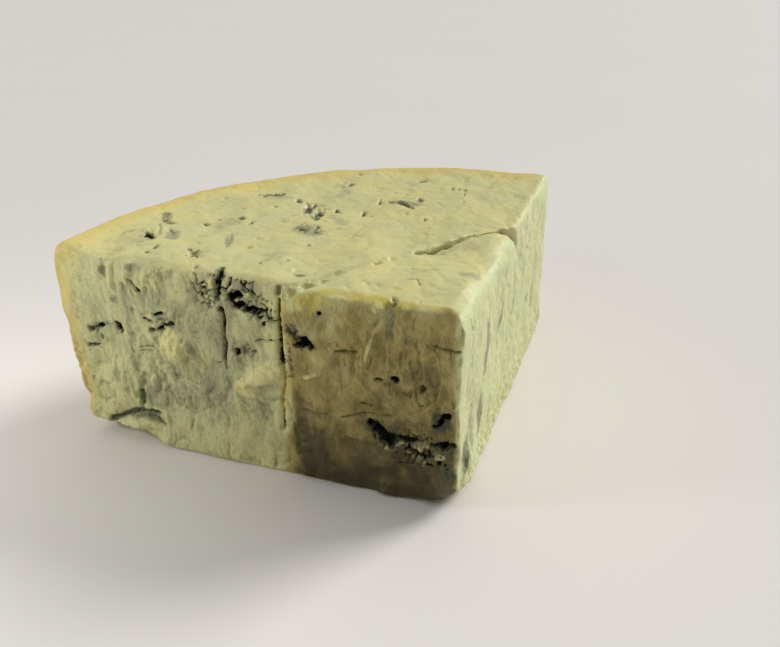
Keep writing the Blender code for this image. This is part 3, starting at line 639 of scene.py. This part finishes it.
def rough_noise(points, size, seed, octaves=3):
    """Several layers of value noise, each half the size and half the height of the last."""
    total = np.zeros(len(points))
    for step in range(octaves):
        total += lattice_noise(points, size / 2 ** step, seed + step) / 2 ** step
    return total / ROUGH_SPREAD


def bent_points(points, size, seed):
    """Points pushed about smoothly, to make a noise drawn on them wind and swirl."""
    push = [rough_noise(points, 1.6 * size, seed + step, octaves=2) for step in (1, 2, 3)]
    return points + 0.5 * size * np.stack(push, axis=1)


def from_middle(points, size, seed):
    """How far a two-layer noise is from its middle value; both relief noises start from it."""
    return np.abs(rough_noise(points, size, seed + 7, octaves=2))


def creases(points, size, seed):
    """Soft lumps with thin valleys between them: -1 in the valleys and up to 1 on the lumps."""
    swell = from_middle(bent_points(points, size, seed), size, seed)
    return 2 * ramp(0, 0.45, swell) - 1


def strands(points, size, seed):
    """Thin raised lines: 1 on them and 0 between them."""
    return ramp(0.2, 0, from_middle(points, size, seed))


def crumbs(first, second, size, seed):
    """Random crumbs of about this size: 1 on their borders and 0 inside, and a tone for each."""
    draw = np.random.default_rng(seed)
    spots = draw.uniform(0, 1, (NOISE_CELLS, NOISE_CELLS, 2))
    tones = draw.uniform(0, 1, (NOISE_CELLS, NOISE_CELLS))
    place = np.stack([first, second], axis=1) / size
    cell = np.floor(place).astype(int)
    nearest = np.full(len(first), np.inf)
    second_nearest = np.full(len(first), np.inf)
    tone = np.zeros(len(first))
    for step in np.ndindex(3, 3):
        near = cell + step - 1
        wrapped = near % NOISE_CELLS
        spot = near + spots[wrapped[:, 0], wrapped[:, 1]]
        gap = np.hypot(*(place - spot).T)
        tone = np.where(gap < nearest, tones[wrapped[:, 0], wrapped[:, 1]], tone)
        second_nearest = np.minimum(second_nearest, np.maximum(nearest, gap))
        nearest = np.minimum(nearest, gap)
    return ramp(0.25, 0.04, second_nearest - nearest), tone


# --- the fine skin ----------------------------------------------------------------------

# Each lining's tint, its strength, and how much of a pocket's given depth it keeps
LININGS = {
    # Black is dark mould with painted shade deep in holes and cracks
    "black": ("black", 1.0, 1.0),
    "mould": ("blue", 0.8, 0.7),
    "blue": ("blue", 0.62, 0.6),
    "olive": ("olive", 0.8, 0.7),
    "veil": ("veil", 0.8, 1.0),
    "amber": ("amber", 0.8, 1.0),
    # Amber painted shade in the slit's valley
    "painted_seam_shade": ("amber", 0.36, 1.0),
    "brown": ("brown", 0.9, 1.0),
}
BLUE_HALO = 0.55
LEAST_WEIGHT = 0.01

# Stretches of the fine relief's noises; the last number is upwards
EVEN = (1, 1, 1)
TALL = (1, 1, 1.5)
FIBRES = (1, 1, 3)
STREAKS = (1, 1, 6)
SMEARS = (4, 4, 1)
RIGHT_STREAKS = (1, 1, 2.2)


class Patch:
    """The skin points that one face owns, laid flat and measured in millimetres."""

    def __init__(self, face, outward, first, second, weight, points):
        self.face = face
        self.outward = outward
        self.owned = np.flatnonzero(weight > LEAST_WEIGHT)
        self.weight = weight[self.owned]
        self.first = first[self.owned] / MM
        self.second = second[self.owned] / MM
        owned = points[self.owned]
        self.flat = owned - (owned @ outward)[:, None] * outward
        self.ragged = 0.6 * self.noise(3, seed=11) + 0.5 * self.noise(1.3, seed=31)
        self.tints = {name: np.zeros(len(self.owned)) for name in TINTS}

    def noise(self, size, seed, stretch=EVEN):
        return rough_noise(self.flat / stretch, size * MM, seed)

    def creases(self, size, seed, stretch=EVEN):
        return creases(self.flat / stretch, size * MM, seed)

    def strands(self, size, seed, stretch=EVEN):
        return strands(self.flat / stretch, size * MM, seed)

    def on_point(self):
        """1 on the point's side of the slit where it shows on the left cut."""
        return ramp(60, 57, self.first)

    def stain(self, name, amount):
        self.tints[name] = np.maximum(self.tints[name], amount)

    def oval(self, first, second, half_first, half_second, turn=0):
        """0 in the middle of an oval, 1 on its edge."""
        angle = math.radians(turn)
        side_on, upward = self.first - first, self.second - second
        main = side_on * math.cos(angle) + upward * math.sin(angle)
        other = upward * math.cos(angle) - side_on * math.sin(angle)
        return np.hypot(main / half_first, other / half_second)

    def line(self, corners):
        """Distance from a line through these corners."""
        nearest = np.full(len(self.owned), np.inf)
        for start, end in zip(corners[:-1], corners[1:]):
            run = np.subtract(end, start)
            side_on, upward = self.first - start[0], self.second - start[1]
            share = np.clip((side_on * run[0] + upward * run[1]) / (run @ run), 0, 1)
            nearest = np.minimum(nearest, np.hypot(side_on - share * run[0],
                                                   upward - share * run[1]))
        return nearest

    def rows(self, table):
        """The face's rows in a table, each with the lining or tint of its group."""
        return [(kind, row) for (face, kind), rows in table.items() if face == self.face
                for row in rows]

    def hollows(self):
        """Depth in millimetres of the face's pockets, cracks and crumb gaps."""
        hollow = np.zeros(len(self.owned))
        for lining, (depth, *oval) in self.rows(POCKETS):
            tint, strength, kept = LININGS[lining]
            reach = self.oval(*oval) + 0.6 * self.ragged
            hollow = np.maximum(hollow, depth * kept * ramp(1.15, 0.65, reach))
            if lining == "black":
                self.stain("black", ramp(1.3, 0.9, reach))
                self.stain("blue", BLUE_HALO * ramp(1.9, 1, reach))
            else:
                self.stain(tint, strength * ramp(1.2, 0.7, reach))
        for lining, (half_width, depth, *corners) in self.rows(GROOVES):
            tint, strength, _ = LININGS[lining]
            reach = self.line(corners) / half_width + 0.5 * self.ragged
            hollow = np.maximum(hollow, depth * ramp(1.3, 0.3, reach))
            self.stain(tint, strength * ramp(1.4, 0.6, reach))
        return self.crumble(hollow)

    def crumble(self, hollow):
        """Add cracks round the crumbs of each zone, whose own place gives its seed."""
        bent = 0.9 * self.ragged
        for lining, (size, depth, *oval) in self.rows(CRUMB_ZONES):
            tint, strength, _ = LININGS[lining]
            inside = ramp(1.3, 0.7, self.oval(*oval) + 0.3 * self.ragged)
            crack, tone = crumbs(self.first + bent, self.second - bent, size, int(oval[0]))
            crack *= inside * ramp(-0.45, 0.1, self.noise(3, seed=57))
            crumb = inside * (1 - crack) * ramp(0, 1, tone)
            hollow = np.maximum(hollow, depth * crack) - 0.5 * depth * crumb
            self.stain(tint, strength * crack)
            self.stain("cream", 0.6 * inside * ramp(0.75, 0.95, tone) * (1 - crack))
        return hollow

    def swellings(self):
        height = np.zeros(len(self.owned))
        for rise, *oval in SWELLINGS.get(self.face, ()):
            height += rise * ramp(1.3, 0.2, self.oval(*oval) + 0.4 * self.ragged)
        return height

    def folds(self):
        """Broad uneven swelling, which the tone of the paste doesn't follow."""
        size, rise = FOLDS[self.face]
        height = rise * self.noise(size, seed=111)
        if self.face == "left":
            height += 0.9 * self.on_point() * self.noise(5.5, seed=115, stretch=TALL)
        return height

    def add_stains(self):
        drift = 0.4 * self.noise(4, seed=71)
        for tint, (strength, *oval) in self.rows(STAINS):
            self.stain(tint, strength * ramp(1.35, 0.35, self.oval(*oval) + drift))


def left_texture(patch):
    """Fine relief of the left cut: lumpy crumb, fibres in places, smears low on the point."""
    along, height = patch.first, patch.second
    smeared = patch.on_point() * ramp(37, 28, height)
    fibrous = patch.on_point() * ramp(34, 40, height) * ramp(64, 56, height)
    fibrous *= ramp(42, 34, along)
    lip = ramp(65, 71, height)
    calm = (1 - 0.35 * smeared) * (1 - 0.55 * lip)
    patchy = np.clip(0.65 + 0.6 * patch.noise(13, seed=79), 0.3, 1.1)
    crumb = (0.42 * patch.creases(6, seed=81, stretch=TALL)
             + 0.24 * patch.creases(2.5, seed=85, stretch=TALL) + 0.16 * patch.noise(1.2, seed=89))
    upright = ramp(116, 128, along) * ramp(40, 50, height)
    streaks = 0.35 * upright * patch.noise(2.4, seed=93, stretch=STREAKS)
    fibres = (0.1 + 0.7 * fibrous) * patch.strands(3, seed=91, stretch=FIBRES)
    smear = 0.4 * patch.noise(1.7, seed=101, stretch=SMEARS) * smeared
    return (crumb * patchy * (1 - 0.6 * upright) + fibres) * calm + streaks + smear


def right_texture(patch):
    """Fine relief of the right cut: faint upright streaks with a sandy grain."""
    streaks = 0.34 * patch.noise(4.6, seed=121, stretch=RIGHT_STREAKS)
    grains = 0.16 * patch.noise(1.4, seed=131) + 0.1 * patch.creases(3, seed=135)
    below_edge = ramp(72, 62, patch.second) * ramp(1, 6, patch.first)
    crumbly = 0.28 * ramp(18, 5, patch.second) * patch.creases(2.8, seed=137)
    return (streaks + grains) * (0.3 + 0.7 * below_edge) + crumbly


def top_texture(patch):
    """Fine relief of the top: small dents and wisps in a smooth cut."""
    dented = patch.noise(3.4, seed=151)
    dents = -0.26 * ramp(0.55, 0.85, dented)
    patch.stain("blue", 0.24 * ramp(0.6, 0.85, dented))
    wisps = 0.12 * patch.creases(6, seed=161) + 0.08 * patch.noise(1.4, seed=165)
    return dents + wisps


BROWN_LENGTH = 58
# Height over which the foot darkens: browner paste with painted shade
FOOT_BROWN_AND_SHADE = 34


def tip_brown_and_shade(patch):
    """How browned the left cut is on the point's side of the slit, with painted shade in it as well:
    darker from the middle down to the foot, and a painted shadow beside the slit's lower part.
    """
    along, height = patch.first, patch.second
    drift = patch.noise(8, seed=191)
    lip_edge = 77 - 7 * ramp(28, 52, along)
    below_lip = ramp(lip_edge, lip_edge - 8, height + 2 * drift)
    # Browner paste with painted shade, darker from the middle of the cut down
    middle = ramp(58, 28, height + 5 * drift)
    # Browner paste with painted shade, darkest at the foot
    low = np.clip((FOOT_BROWN_AND_SHADE - height - 3 * drift) / FOOT_BROWN_AND_SHADE, 0, 1)
    # Painted shadow beside the slit's lower part
    painted_slit_shadow = (ramp(48, 57, along + 2 * drift)
               * ramp(48, 22, height + 5 * drift))
    tipward = 1 - along / BROWN_LENGTH
    blurred = ramp(26, 12, height)
    from_slit = along + (0.4 + 1.6 * blurred) * drift
    on_point = ramp(60 + 8 * blurred, 57 - 5 * blurred, from_slit)
    on_point *= ramp(0.3, 2.4, along)
    mottle = 0.2 * patch.noise(5, seed=193)
    channel = ramp(3.4, 1, patch.line([(22.4, 80), (23.2, 62)]))
    amount = 0.38 + 0.12 * tipward + 0.16 * middle + 0.55 * low + 0.32 * painted_slit_shadow + mottle
    return on_point * below_lip * (1 - 0.6 * channel) * amount


CALMNESS = {"left": 0, "right": 0.8, "top": 1}
GREENNESS = {"left": 0.45, "right": 1, "top": 0.1}
# Each face's broad folds: size and height in millimetres
FOLDS = {"left": (11, 0.6), "right": (8, 0.45), "top": (10, 0.4)}
TEXTURES = {"left": left_texture, "right": right_texture, "top": top_texture}
BLEND = 1.2 * MM
SLIT_MIDDLE = 0.6 * MM
SLIT_WALL_MIDDLE = 0.7 * MM


def skin_patches(points):
    """The three cut faces with the points nearest to each; the slit's walls belong to none."""
    along_left, along_right = wedge_lengths(points)
    below = {
        "left": along_right,
        "right": along_left,
        "top": below_top(points),
        "rind": rind_distance(points),
        "base": points[:, 2],
    }
    inside = np.minimum(np.minimum(below["left"], below["right"]), below["top"])
    from_walls = np.abs(slit_side(points) - SLIT_WALL_MIDDLE)
    on_wall = (ramp(1 * MM, 2.2 * MM, inside)
               * ramp(3.6 * MM, 2.8 * MM, from_walls))
    views = {
        "left": (-RIGHT_DIR, along_left, points[:, 2]),
        "right": (-LEFT_DIR, along_right, points[:, 2]),
        "top": (UP, along_left, along_right),
    }
    patches = []
    for face, (outward, first, second) in views.items():
        others = np.min([depth for name, depth in below.items() if name != face], axis=0)
        weight = ramp(-BLEND, BLEND, others - below[face]) * (1 - on_wall)
        patches.append(Patch(face, outward, first, second, weight, points))
    return patches


def by_top_edge(points):
    return ramp(9 * MM, 1 * MM, below_top(points))


def crust_rind(points, clear_of_base, tints):
    """Tint the rind, least at the right cut, and give the move that makes its crust uneven."""
    from_rind = rind_distance(points)
    outward = (points - WHEEL_CENTRE) * (1, 1, 0)
    outward /= np.maximum(np.linalg.norm(outward, axis=1), 1 * MM)[:, None]
    on_rind = ramp(6 * MM, 3 * MM, from_rind) * clear_of_base
    crust = 0.3 * rough_noise(points, 4 * MM, seed=181, octaves=2)
    # The crust's relief also gets painted shade and highlight from the material
    tints["relief"] += on_rind * crust
    drift = rough_noise(points, 9 * MM, seed=195)
    near_right = ramp(6 * MM, 1 * MM, wedge_lengths(points)[0])
    rind_width = 9 + 14 * by_top_edge(points)
    tints["rind"] = (ramp(1, 0.2, (from_rind / MM + 2.5 * drift) / rind_width)
                     * (1 - 0.8 * near_right))
    return (on_rind * crust * MM)[:, None] * outward


def tint_slit(points, tints):
    """Amber painted shade along both sides of the slit, and black painted shade in its gap where it shows
    on the left cut.
    """
    along_right = wedge_lengths(points)[1]
    from_middle_line = np.abs(slit_side(points) - SLIT_MIDDLE)
    # Amber painted shade along the slit's valley
    painted_seam_shade = ramp(4 * MM, 0.5 * MM, from_middle_line)
    painted_seam_shade *= ramp(SLIT_ON_RIGHT, 0.6 * SLIT_ON_RIGHT, along_right)
    painted_seam_shade *= ramp(SLIT_FLOOR_LEFT, 2 * SLIT_FLOOR_LEFT, points[:, 2])
    tints["amber"] = np.maximum(tints["amber"], 0.7 * painted_seam_shade * (1 - 0.55 * by_top_edge(points)))
    # Black painted shade in the slit's open gap on the left cut
    painted_gap_shade = ramp(2.4 * MM, 1.6 * MM, from_middle_line)
    painted_gap_shade *= ramp(0.8 * MM, 2.4 * MM, along_right) * ramp(9 * MM, 5 * MM, along_right)
    painted_gap_shade *= ramp(4 * MM, 8 * MM, below_top(points))
    tints["black"] = np.maximum(tints["black"], 0.85 * painted_gap_shade)


def shape_skin(points):
    """Move the skin in or out by its hollows and fine relief; give also its tints."""
    moved = points.copy()
    tints = {name: np.zeros(len(points)) for name in TINTS}
    clear_of_base = ramp(0.1 * MM, 2.2 * MM, points[:, 2])
    clear_of_rim = ramp(2 * MM, 9 * MM, rind_distance(points))
    for patch in skin_patches(points):
        hollow = patch.hollows()
        patch.add_stains()
        bump = patch.swellings()
        fine = TEXTURES[patch.face](patch) * ramp(3, 0.5, hollow)
        fine *= (clear_of_rim if patch.face == "top" else clear_of_base)[patch.owned]
        rise = patch.weight * (bump + fine + patch.folds() - hollow) * MM
        moved[patch.owned] += rise[:, None] * patch.outward
        # The relief is kept as a tint, so that the material paints shade in its hollows and highlights on
        # its ridges
        patch.tints["relief"] = fine + 0.6 * bump
        patch.tints["calm"] += CALMNESS[patch.face]
        patch.tints["green"] += GREENNESS[patch.face]
        if patch.face == "left":
            # Brown paste with painted shade on the point's side of the slit
            patch.stain("brown", tip_brown_and_shade(patch))
        for name in TINTS:
            tints[name][patch.owned] += patch.weight * patch.tints[name]
    moved += crust_rind(points, clear_of_base, tints)
    tint_slit(points, tints)
    return moved, tints


def swollen(points, normals):
    """The solid's own gentle unevenness, before anything finer."""
    clear_of_base = ramp(0.3 * MM, 5 * MM, points[:, 2])
    clear_of_rim = ramp(4 * MM, 14 * MM, rind_distance(points))
    swell = 0.7 * lumps(points, 17 * MM, seed=1) + 0.35 * lumps(points, 7 * MM, seed=2)
    moved = points.copy()
    for outward, share in ((-RIGHT_DIR, clear_of_base), (-LEFT_DIR, 0.7 * clear_of_base),
                           (UP, 0.7 * clear_of_rim)):
        on_face = ramp(0.45, 0.85, normals @ outward)
        moved += (on_face * share * swell * MM)[:, None] * outward
    return moved


def set_tints(mesh, tints):
    for name in TINTS:
        layer = mesh.attributes.new(name, "FLOAT", "POINT")
        layer.data.foreach_set("value", tints[name].astype(np.float32))


def make_wedge():
    """The whole cheese as one finely detailed piece."""
    mesh = cut_wedge()
    set_mesh_points(mesh, tilt_top(mesh_points(mesh)))
    points = swollen(mesh_points(mesh), read_vectors(mesh.vertex_normals, "vector"))
    points = push_point_aside(round_slit_lip(round_top_edges(points)))
    set_mesh_points(mesh, level_base(wear_base_edges(points)))

    wedge = new_object("cheese_wedge", mesh)
    cutter = make_slit_cutter()
    add_modifier(wedge, "REMESH", mode="VOXEL", voxel_size=VOXEL)
    add_modifier(wedge, "BOOLEAN", operation="DIFFERENCE", solver="EXACT", object=cutter)
    add_modifier(wedge, "REMESH", mode="VOXEL", voxel_size=FINE_VOXEL)
    fine_mesh = evaluated_mesh(wedge)
    bpy.data.objects.remove(cutter)
    wedge.modifiers.clear()
    wedge.data = fine_mesh

    points, tints = shape_skin(mesh_points(fine_mesh))
    set_mesh_points(fine_mesh, level_base(points))
    set_tints(fine_mesh, tints)
    add_modifier(wedge, "DECIMATE", ratio=TRIANGLES / (2 * len(fine_mesh.polygons)))
    final_mesh = evaluated_mesh(wedge)
    wedge.modifiers.clear()
    wedge.data = final_mesh
    set_mesh_points(final_mesh, level_base(mesh_points(final_mesh)))
    final_mesh.polygons.foreach_set("use_smooth", np.ones(len(final_mesh.polygons), dtype=bool))
    final_mesh.materials.append(cheese_material())
    return wedge


# --- materials --------------------------------------------------------------------------


def paint(red, green, blue):
    """A colour given as screen values from 0 to 255."""
    def linear(value):
        share = value / 255
        return share / 12.92 if share <= 0.04045 else ((share + 0.055) / 1.055) ** 2.4
    return (linear(red), linear(green), linear(blue), 1)


PASTE = paint(217, 209, 143)
COOL_PASTE = paint(207, 205, 147)
GREEN_PASTE = paint(211, 218, 164)
# Painted shade for the relief's hollows and painted highlight for its ridges
PAINTED_HOLLOW_SHADE = paint(146, 148, 110)
PAINTED_RIDGE_HIGHLIGHT = paint(227, 222, 160)
GRAIN = paint(150, 148, 104)
VEIL = paint(162, 160, 126)
RIND = paint(217, 206, 134)
RIND_EDGE = paint(216, 199, 120)
AMBER = paint(202, 186, 90)
LIGHT_BROWN = paint(168, 153, 88)
# Laid where the brown amount is highest, so at the point's foot it partly stands for painted shade
DARK_BROWN = paint(72, 64, 32)
PALE_FIBRE = paint(196, 182, 118)
DARK_FIBRE = paint(96, 86, 48)
# Painted highlight on raised strands and painted shade in low folds of the browned cut
PAINTED_STRAND_HIGHLIGHT = paint(186, 172, 112)
PAINTED_FOLD_SHADE = paint(84, 78, 46)
OLIVE = paint(132, 128, 70)
THREAD = paint(118, 122, 92)
PALE_MOULD = paint(138, 142, 104)
BROWN_MOULD = paint(98, 94, 60)
DARK_MOULD = paint(58, 62, 38)
# Near black: dark mould with painted shade deep in holes, cracks and the slit's gap
HOLE_MOULD_AND_SHADE = paint(17, 18, 11)
CREAM = paint(229, 223, 155)
FLOOR_LOW = paint(229, 225, 221)
FLOOR_HIGH = paint(232, 228, 225)


class Nodes:
    """Short ways to add and join shader nodes."""

    def __init__(self, material):
        material.use_nodes = True
        self.tree = material.node_tree
        self.shader = self.tree.nodes["Principled BSDF"]
        self.place = self.node("TexCoord", {}).outputs["Object"]

    def fill(self, node, inputs):
        """Give a node its inputs, each a value or another node's socket."""
        for name, value in inputs.items():
            if isinstance(value, bpy.types.NodeSocket):
                self.tree.links.new(value, node.inputs[name])
            else:
                node.inputs[name].default_value = value

    def node(self, kind, inputs, **settings):
        made = self.tree.nodes.new("ShaderNode" + kind)
        for name, value in settings.items():
            setattr(made, name, value)
        self.fill(made, inputs)
        return made

    def squeeze(self, *scale):
        return self.node("Mapping", {"Vector": self.place, "Scale": scale}).outputs["Vector"]

    def noise(self, size, detail=3, rough=0.55, place=None, distort=0):
        made = self.node("TexNoise", {"Vector": place or self.place, "Scale": 1 / size,
                                      "Detail": detail, "Roughness": rough, "Distortion": distort})
        return made.outputs["Fac"]

    def field(self, name):
        return self.node("Attribute", {}, attribute_name=name).outputs["Fac"]

    def math(self, operation, first, second=0):
        return self.node("Math", {0: first, 1: second}, operation=operation).outputs[0]

    def times(self, first, second):
        return self.math("MULTIPLY", first, second)

    def spread(self, value, low, high, to_low=0, to_high=1):
        inputs = {"Value": value, "From Min": low, "From Max": high, "To Min": to_low,
                  "To Max": to_high}
        return self.node("MapRange", inputs, interpolation_type="SMOOTHSTEP").outputs["Result"]

    def mix(self, share, first, second):
        return self.node("Mix", {"Factor": share, 6: first, 7: second}, data_type="RGBA").outputs[2]

    def broken(self, field, noise, reach, low, high):
        """A mask from a field on the skin, with its edge broken up by noise."""
        shift = self.times(self.math("SUBTRACT", noise, 0.5), reach)
        return self.spread(self.math("ADD", field, shift), low, high)

    def thread(self, noise, width):
        """Thin winding lines, where a noise crosses its middle value."""
        off = self.math("ABSOLUTE", self.math("SUBTRACT", noise, 0.5))
        return self.spread(off, 0, width, 1, 0)


class CheesePaint(Nodes):
    """The cheese's colour, laid on in layers from the plain paste to the mould."""

    def __init__(self, material):
        super().__init__(material)
        tall = self.squeeze(1, 1, 0.3)
        upright = self.squeeze(1, 1, 0.55)
        self.patches = self.noise(20 * MM, 3, 0.5, tall)
        self.mottles = self.noise(6 * MM, 4, 0.6, tall, 0.4)
        self.specks = self.noise(2.6 * MM, 3, 0.65, upright, 0.3)
        self.grains = self.noise(1.1 * MM, 3, 0.6)
        self.winding = self.noise(5.5 * MM, 3, 0.55, upright, 0.8)
        self.fibres = self.noise(3.4 * MM, 3, 0.5, self.squeeze(1, 1, 0.4), 0.5)
        self.restless = self.math("SUBTRACT", 1, self.times(self.field("calm"), 0.7))
        # The relief with random specks, which the painted shade and highlights follow
        self.relief = self.math("ADD", self.field("relief"),
                                self.times(self.math("SUBTRACT", self.specks, 0.5), 1.4))
        mottled = self.times(self.spread(self.mottles, 0.5, 0.7, 0, 0.6), self.restless)
        self.veil = self.math("MAXIMUM", self.field("veil"), mottled)
        self.brown = self.field("brown")
        self.fibrous = self.times(self.brown, self.spread(self.brown, 1.05, 0.55))
        self.colour = self.mix(self.spread(self.patches, 0.38, 0.62), PASTE, COOL_PASTE)

    def lay(self, tint, mask, share=1):
        """Lay a tint over the colour so far, where the mask lets it."""
        if share < 1:
            mask = self.times(mask, share)
        self.colour = self.mix(mask, self.colour, tint)

    def lay_paste(self):
        self.lay(GREEN_PASTE, self.field("green"), 0.85)
        # Painted shade where the relief is low, painted highlight where it is high
        self.lay(PAINTED_HOLLOW_SHADE, self.times(self.spread(self.relief, 0.25, -0.75), self.restless), 0.75)
        self.lay(GRAIN, self.times(self.spread(self.grains, 0.5, 0.68), self.restless), 0.3)
        self.lay(PAINTED_RIDGE_HIGHLIGHT, self.spread(self.relief, 0.3, 1), 0.5)
        self.lay(VEIL, self.broken(self.veil, self.mottles, 0.9, 0.3, 1.1))

    def lay_rind(self):
        rind = self.field("rind")
        self.lay(RIND, self.broken(rind, self.mottles, 0.4, 0.1, 0.8))
        self.lay(RIND_EDGE, self.broken(rind, self.mottles, 0.3, 0.6, 1))
        self.lay(AMBER, self.broken(self.field("amber"), self.specks, 0.6, 0.25, 1))

    def lay_brown(self):
        """The browned cut, whose darkest brown is partly painted shade at the point's foot and beside the
        slit: its fibres show less where it is darkest. Raised strands get a painted highlight and low
        folds a painted shade.
        """
        self.lay(LIGHT_BROWN, self.broken(self.brown, self.mottles, 0.3, 0, 0.5))
        # The darkest brown, partly painted shade at the foot and beside the slit
        self.lay(DARK_BROWN, self.broken(self.brown, self.mottles, 0.3, 0.4, 1.05))
        self.lay(PALE_FIBRE, self.times(self.thread(self.fibres, 0.03), self.fibrous), 0.3)
        self.lay(DARK_FIBRE, self.times(self.spread(self.fibres, 0.6, 0.72), self.fibrous), 0.6)
        # Painted highlight where the relief is high, painted shade where it is low
        self.lay(PAINTED_STRAND_HIGHLIGHT, self.times(self.spread(self.relief, 0.1, 0.8), self.fibrous), 0.7)
        self.lay(PAINTED_FOLD_SHADE, self.times(self.spread(self.relief, -0.1, -0.8), self.brown), 0.6)

    def lay_mould(self):
        self.lay(OLIVE, self.broken(self.field("olive"), self.specks, 0.7, 0.35, 0.9))
        veined = self.broken(self.veil, self.mottles, 1.2, 0.3, 0.8)
        self.lay(THREAD, self.times(self.thread(self.winding, 0.035), veined), 0.55)
        pale_mould = self.mix(self.spread(self.brown, 0, 0.4), PALE_MOULD, BROWN_MOULD)
        mould = self.field("blue")
        self.lay(pale_mould, self.broken(mould, self.specks, 1.2, 0.15, 0.7))
        self.lay(DARK_MOULD, self.broken(mould, self.grains, 1.2, 0.55, 1.05))
        # Dark mould and painted shade in holes and cracks
        self.lay(HOLE_MOULD_AND_SHADE, self.broken(self.field("black"), self.grains, 0.5, 0.4, 0.9))
        self.lay(CREAM, self.broken(self.field("cream"), self.grains, 0.6, 0.2, 0.9))

    def bump(self):
        height = self.math("ADD", self.grains, self.times(self.specks, 0.8))
        ridges = self.times(self.thread(self.fibres, 0.06), self.fibrous)
        height = self.times(self.math("ADD", height, ridges), self.restless)
        made = self.node("Bump", {"Strength": 0.85, "Distance": 0.5 * MM, "Height": height})
        return made.outputs["Normal"]


def cheese_material():
    material = bpy.data.materials.new("blue_cheese")
    nodes = CheesePaint(material)
    nodes.lay_paste()
    nodes.lay_rind()
    nodes.lay_brown()
    nodes.lay_mould()
    nodes.fill(nodes.shader, {
        "Base Color": nodes.colour,
        "Roughness": nodes.spread(nodes.mottles, 0.35, 0.7, 0.4, 0.58),
        "Specular IOR Level": 0.38,
        "Subsurface Weight": 0.2,
        "Subsurface Radius": (1, 0.65, 0.28),
        "Subsurface Scale": 2 * MM,
        "Normal": nodes.bump(),
    })
    return material


# --- stage ------------------------------------------------------------------------------


def make_floor():
    shape = bmesh.new()
    bmesh.ops.create_grid(shape, x_segments=1, y_segments=1, size=FLOOR_HALF_SIZE)
    floor = new_object("floor", mesh_from(shape))
    material = bpy.data.materials.new("pale_floor")
    nodes = Nodes(material)
    cloudy = nodes.mix(nodes.noise(0.4, 2), FLOOR_LOW, FLOOR_HIGH)
    nodes.fill(nodes.shader, {"Base Color": cloudy, "Roughness": 0.9})
    floor.data.materials.append(material)


def add_light(name, kind, heading, height, energy, colour, target=(0, 0, 0), distance=1):
    """A light seen from the target at this heading and height angle in degrees; gives its lamp."""
    lamp = bpy.data.lights.new(name, kind)
    lamp.energy = energy
    lamp.color = colour
    turn, rise = math.radians(heading), math.radians(height)
    away = Vector((math.cos(turn) * math.cos(rise), math.sin(turn) * math.cos(rise), math.sin(rise)))
    light = new_object(name, lamp)
    light.location = Vector(target) + distance * away
    light.rotation_euler = (-away).to_track_quat("-Z", "Y").to_euler()
    return lamp


def make_lights():
    key = add_light("key", "SUN", heading=4, height=31, energy=2.6, colour=(1.0, 0.985, 0.955))
    key.angle = math.radians(24)
    overhead = add_light("overhead", "SUN", heading=60, height=80, energy=0.7,
                         colour=(1.0, 1.0, 0.99))
    overhead.angle = math.radians(80)
    left_fill = add_light("left_fill", "AREA", heading=171, height=31, energy=0.178,
                          colour=(1.0, 0.99, 0.96), target=(-0.10, -0.01, 0.045), distance=0.20)
    left_fill.size = 0.06
    world = bpy.data.worlds.new("studio")
    world.use_nodes = True
    background = world.node_tree.nodes["Background"]
    background.inputs["Color"].default_value = (1, 0.995, 0.985, 1)
    background.inputs["Strength"].default_value = 0.2
    bpy.context.scene.world = world
    bpy.context.scene.view_settings.view_transform = "Standard"


def make_camera():
    lens = bpy.data.cameras.new("camera")
    lens.sensor_width = SENSOR_MM
    lens.lens = LENS_MM
    lens.clip_start = 0.01
    camera = new_object("camera", lens)
    camera.location = CAMERA_PLACE
    camera.rotation_euler = [math.radians(turn) for turn in CAMERA_TURNS]
    bpy.context.scene.camera = camera


def main():
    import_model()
    make_camera()
    wedge = make_wedge()
    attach(wedge, "root")
    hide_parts("gorgonzola_wedge")
    make_floor()
    make_lights()
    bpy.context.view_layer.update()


main()
